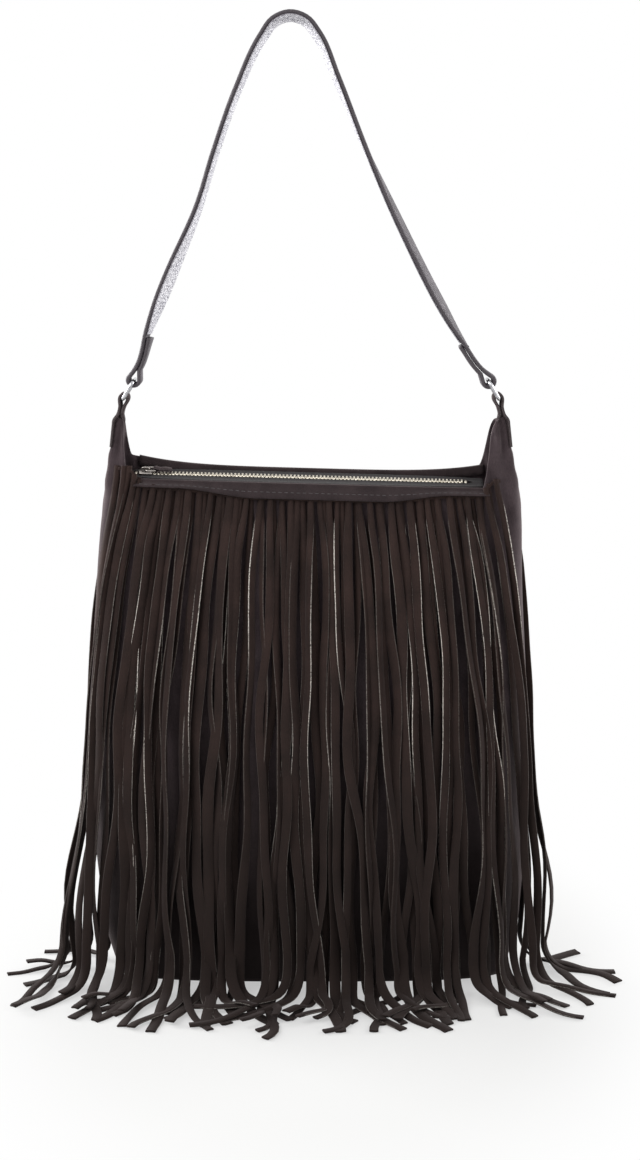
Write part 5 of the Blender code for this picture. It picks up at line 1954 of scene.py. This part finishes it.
@dataclass
class Strap(Assembly):
    """The strap's dark leather, folded back through both rings, and its inner face, painted pale as a
    reflection of white light on dark leather.
    """

    left: StrapRing
    right: StrapRing
    width: float = 0.0200
    leather: float = 0.0031
    lining: float = 0.0009
    eye: float = 0.0028
    seat: float = 0.0011
    teardrop: float = 0.0022
    fold_back: float = 0.034
    fold_start: float = 0.20
    fold_seam: float = 0.86
    reflection_start: float = 1.04
    rows: int = 200
    turns: int = 20
    twists: tuple[tuple[float, float], ...] = (
        *((0.12, 20.0), (0.25, 6.5), (0.38, 7.5), (0.5, 13.0)),
        *((0.66, 2.0), (0.78, -12.0), (0.88, -15.0)),
    )
    route: tuple[tuple[float, float], ...] = (
        *((-0.121, 0.497), (-0.103, 0.541), (-0.084, 0.585), (-0.070, 0.628), (-0.054, 0.671)),
        *((-0.0355, 0.7085), (-0.0265, 0.7200), (-0.0150, 0.7240), (-0.0035, 0.7205), (0.0050, 0.7105)),
        *((0.019, 0.680), (0.041, 0.628), (0.068, 0.571), (0.096, 0.517), (0.112, 0.490)),
    )

    def loop(self, ring: StrapRing, toward: tuple[float, float], seat: float) -> tuple[Array, Array, Array]:
        """An end loop of the strap.

        Args:
            ring: the ring that it goes round.
            toward: x and height of the route's nearest point.
            seat: how far its middle lies from the ring's bar.

        Returns:
            Its middle, its way into the strap, and its inner side.
        """
        bar = ring.upper()
        into = unit(np.array((toward[0], 0.0, toward[1])) - bar)
        inner = np.array((into[2], 0.0, -into[0])) * -ring.end.value
        return bar + into * seat, into, inner

    def middle_line(self, leg: float, radius: float, ends: tuple) -> Array:
        """The strap's middle line, from the inner side of the left eye to that of the right one.

        Args:
            leg: half the distance between the leather's middle lines where it is doubled.
            radius: the radius of the eyes' middle lines.
            ends: what loop gives for the left and for the right.

        Returns:
            An array of (rows, 3).
        """
        (left, left_into, left_inner), (right, right_into, right_inner) = ends
        reach = radius + self.teardrop
        arch = [left - left_inner * radius, left + left_into * reach - left_inner * leg]
        arch += [np.array((x, 0.0, height)) for x, height in self.route]
        arch += [right + right_into * reach - right_inner * leg, right - right_inner * radius]
        return smooth_route(np.array(arch), self.rows)

    def build(self) -> None:
        """Makes the leather, the inner face painted pale as a reflection, and the fold's stitches."""
        radius = self.eye + self.leather / 2
        leg = (self.leather + GAP) / 2
        ends = self.loop(self.left, self.route[0], self.seat), self.loop(self.right, self.route[-1], 0.0)
        (left, left_into, left_inner), (right, right_into, right_inner) = ends
        line = self.middle_line(leg, radius, ends)
        share = np.linspace(0.0, 1.0, self.rows)
        fold = self.fold_back / float(run_along(line)[-1])
        stations = (0.0, 0.5 * fold, *(at for at, _ in self.twists), 1.0 - 0.5 * fold, 1.0)
        angles = np.radians((0.0, 0.0, *(angle for _, angle in self.twists), 0.0, 0.0))
        twist = smooth_table(share, stations, angles)[:, None]
        inward = unit(np.cross(SIDEWAYS, unit(np.gradient(line, axis=0))))
        across = np.cos(twist) * SIDEWAYS + np.sin(twist) * inward
        under = np.cos(twist) * inward - np.sin(twist) * SIDEWAYS

        doubled = np.flatnonzero((share > self.fold_start * fold) & (share < fold))
        back_left = line[doubled] + under[doubled] * 2 * leg
        back_right = line[-1 - doubled] + under[-1 - doubled] * 2 * leg
        turn_left = half_turn(left, -left_into, left_inner, radius, self.turns)
        turn_right = half_turn(right, -right_into, -right_inner, radius, self.turns)
        path = np.concatenate((back_left[::-1], turn_left[:-1], line, turn_right[1:], back_right))
        level = np.tile(SIDEWAYS, (self.turns, 1))
        ways = np.concatenate((across[doubled][::-1], level, across, level, across[-1 - doubled]))
        face = unit(np.cross(unit(np.gradient(path, axis=0)), ways))
        before = len(doubled) + self.turns
        face[before : before + self.rows] = -under
        leather = strip(path[None], ways[None], face[None], self.width, self.leather)
        self.add("strap_dark_face", leather, STRAP_OUTER, "strap", "strap_outer", "strap_leather")

        # The inner face is painted pale: a painted reflection on the dark leather
        free = (share > self.reflection_start * fold) & (share < 1.0 - self.reflection_start * fold)
        middle = line[free] + under[free] * (self.leather / 2 + self.lining / 2 + 0.00005)
        pale = strip(middle[None], across[free][None], under[free][None], self.width * 0.985, self.lining)
        self.add("strap_painted_reflection_face", pale, STRAP_PAINTED_REFLECTION, "strap", "strap_inner", "strap_lining")
        self.sew_folds(line, inward, share, fold)

    def sew_folds(self, line: Array, inward: Array, share: Array, fold: float) -> None:
        """Two rows of stitches, one through each fold-back, across the strap.

        Args:
            line: the strap's middle line.
            inward: its inner side's directions.
            share: shares along it.
            fold: the fold's share of the length.
        """
        across = np.array((-0.006, -0.002, 0.002, 0.006))[:, None] * SIDEWAYS
        along = np.tile(SIDEWAYS, (len(across), 1))
        for word, at in (("left", self.fold_seam * fold), ("right", 1.0 - self.fold_seam * fold)):
            index = int(np.argmin(np.abs(share - at)))
            middle = line[index] - inward[index] * (self.leather / 2 + 0.0001) + across
            out = np.tile(-inward[index], (len(across), 1))
            shape = pills(middle, along, out, 0.0028, 0.0008, 0.0006)
            self.add("strap_stitches_" + word, shape, DARK_THREAD, "strap", "strap_outer")


# Floor, light and camera


@dataclass
class Studio:
    """A pale floor, soft light and the photograph's camera."""

    camera_place: tuple[float, float, float] = (0.0067, -1.60, 0.60)
    camera_pitch: float = 10.345
    lens: float = 66.5
    sensor: float = 36.0
    floor_size: float = 30.0
    floor_drop: float = 0.0002
    lamp_aim: tuple[float, float, float] = (0.0, 0.0, 0.3)
    lamps: tuple[tuple[str, tuple[float, float, float], float, float], ...] = (
        ("key", (-1.45, -1.2, 1.65), 1.2, 27.0),
        ("fill", (1.5, -1.0, 1.0), 1.2, 7.5),
        ("left_edge", (-1.5, 0.7, 0.7), 0.9, 34.0),
        ("right_edge", (1.5, 0.7, 0.7), 0.9, 20.0),
    )

    def camera(self) -> None:
        """A level camera, turned down a little."""
        data = bpy.data.cameras.new("view")
        data.lens = self.lens
        data.sensor_width = self.sensor
        data.clip_end = 100.0
        item = bpy.data.objects.new("view", data)
        item.location = self.camera_place
        item.rotation_euler = (math.radians(90.0 - self.camera_pitch), 0.0, 0.0)
        bpy.context.scene.collection.objects.link(item)
        bpy.context.scene.camera = item

    def lamp(self, name: str, place: tuple[float, float, float], size: float, power: float) -> None:
        """One square soft lamp that faces the bag.

        Args:
            name: its name.
            place: where it stands.
            size: its width.
            power: its power in watts.
        """
        data = bpy.data.lights.new(name, "AREA")
        data.shape = "SQUARE"
        data.size = size
        data.energy = power
        item = bpy.data.objects.new(name, data)
        item.location = place
        item.rotation_euler = aimed(np.array(self.lamp_aim) - np.array(place))
        bpy.context.scene.collection.objects.link(item)

    def floor(self) -> None:
        """A large pale floor that is white to the camera away from the bag, and greyer near it, where painted
        shade is mixed with the bag's rendered shadow.
        """
        half, low = self.floor_size / 2, -self.floor_drop
        corners = [(-half, -half, low), (half, -half, low), (half, half, low), (-half, half, low)]
        mesh = bpy.data.meshes.new("floor")
        mesh.from_pydata(corners, [], [(0, 1, 2, 3)])
        paint = Paint("floor_white_and_painted_shade", 0.9, 0.0)
        paint.shader.inputs["Base Color"].default_value = (0.66, 0.66, 0.65, 1.0)
        paint.shader.inputs["Specular IOR Level"].default_value = 0.1
        flat = paint.stretched(paint.place(), (1.45, 0.85, 0.0))
        away = paint.node("ShaderNodeVectorMath", {"operation": "LENGTH"}, {0: flat}, "Value")
        camera = paint.node("ShaderNodeLightPath", {}, {}, "Is Camera Ray")
        seen = camera.output("Is Glossy Ray") + camera + camera.output("Is Transmission Ray")
        # Painted shade: near the bag less white glow is mixed in, so the floor is grey there even where it is
        # lit
        white = seen.over(0.0, 1.0) * (away.over(0.24, 0.42) * 0.53 + 0.47)
        glow = paint.node("ShaderNodeEmission", {}, {"Color": (1.0, 1.0, 1.0, 1.0), "Strength": 1.0})
        plain = Signal(paint, paint.shader.outputs[0])
        surface = paint.node("ShaderNodeMixShader", {}, {0: white, 1: plain, 2: glow})
        paint.feed(paint.tree.nodes["Material Output"].inputs["Surface"], surface)
        mesh.materials.append(paint.material)
        item = bpy.data.objects.new("floor", mesh)
        bpy.context.scene.collection.objects.link(item)

    def world(self) -> None:
        """Soft light from all round, and plain white behind the bag."""
        world = bpy.data.worlds.new("studio")
        world.use_nodes = True
        tree = world.node_tree
        background = tree.nodes["Background"]
        background.inputs["Color"].default_value = (1.0, 1.0, 1.0, 1.0)
        path = tree.nodes.new("ShaderNodeLightPath")
        seen = tree.nodes.new("ShaderNodeMath")
        seen.operation = "MAXIMUM"
        tree.links.new(path.outputs["Is Camera Ray"], seen.inputs[0])
        tree.links.new(path.outputs["Is Glossy Ray"], seen.inputs[1])
        strength = tree.nodes.new("ShaderNodeMapRange")
        strength.inputs["To Min"].default_value = 0.55
        strength.inputs["To Max"].default_value = 1.0
        tree.links.new(seen.outputs[0], strength.inputs["Value"])
        tree.links.new(strength.outputs[0], background.inputs["Strength"])
        bpy.context.scene.world = world

    def build(self) -> None:
        """Sets the stage."""
        self.camera()
        self.floor()
        self.world()
        for lamp in self.lamps:
            self.lamp(*lamp)
        bpy.context.scene.view_settings.view_transform = "Standard"


def aimed(way: Array) -> tuple[float, float, float]:
    """The turn that points a lamp's -Z along a direction: a tilt about X, then a turn about Z.

    Args:
        way: the direction.

    Returns:
        The turn as Euler angles.
    """
    way = unit(way)
    tilt = math.acos(-way[2])
    return (tilt, 0.0, math.atan2(-way[0], way[1]))


def declare_sheets(pieces: dict[str, bpy.types.Object]) -> None:
    """Gathers the pieces of the front and of the back that are sheets of suede or cloth into two lists, which
    nothing uses.

    Args:
        pieces: every piece by its name.
    """
    front = [pieces[name] for name in ("binding_front", "stitches_front", "fringe_inner", "fringe_outer")]
    back = [pieces[name] for name in ("binding_back", "stitches_back", "fringe_left", "fringe_right")]
    front += [pieces["tape_front"], pieces["suede_tab_left"]]
    back += [pieces["tape_back"], pieces["suede_tab_right"]]


def main() -> None:
    """Builds the bag's pieces, dresses them and gathers its sheet pieces into lists that nothing uses."""
    logging.basicConfig(level=logging.INFO, format="%(message)s")
    Studio().build()
    run = WALL.mouth_run()
    front = (FRONT_INSET[0], run - FRONT_INSET[1])
    left, right = SIDE_FRINGE, (run - SIDE_FRINGE[1], run - SIDE_FRINGE[0])
    rings = [StrapRing(end) for end in End]
    parts = [
        SuedeShell(),
        *(MouthBinding(side) for side in Side),
        FringeComb("fringe_inner", "fringe_front_inner", *front, 0.25, 0, Side.FRONT, 20),
        FringeComb("fringe_outer", "fringe_front_outer", *front, 0.75, 2, Side.FRONT, 21),
        FringeComb("fringe_left", "fringe_side_left", *left, 0.5, 0, Side.BACK, 22, SIDE_PITCH),
        FringeComb("fringe_right", "fringe_side_right", *right, 0.5, 0, Side.BACK, 23, SIDE_PITCH),
        Zip(),
        Slider(),
        *rings,
        *(RingTab(ring) for ring in rings),
        Strap(*rings),
    ]
    pieces = {}
    for part in parts:
        part.build()
        part.dress()
        pieces |= part.pieces
    declare_sheets(pieces)


if __name__ == "__main__":
    main()
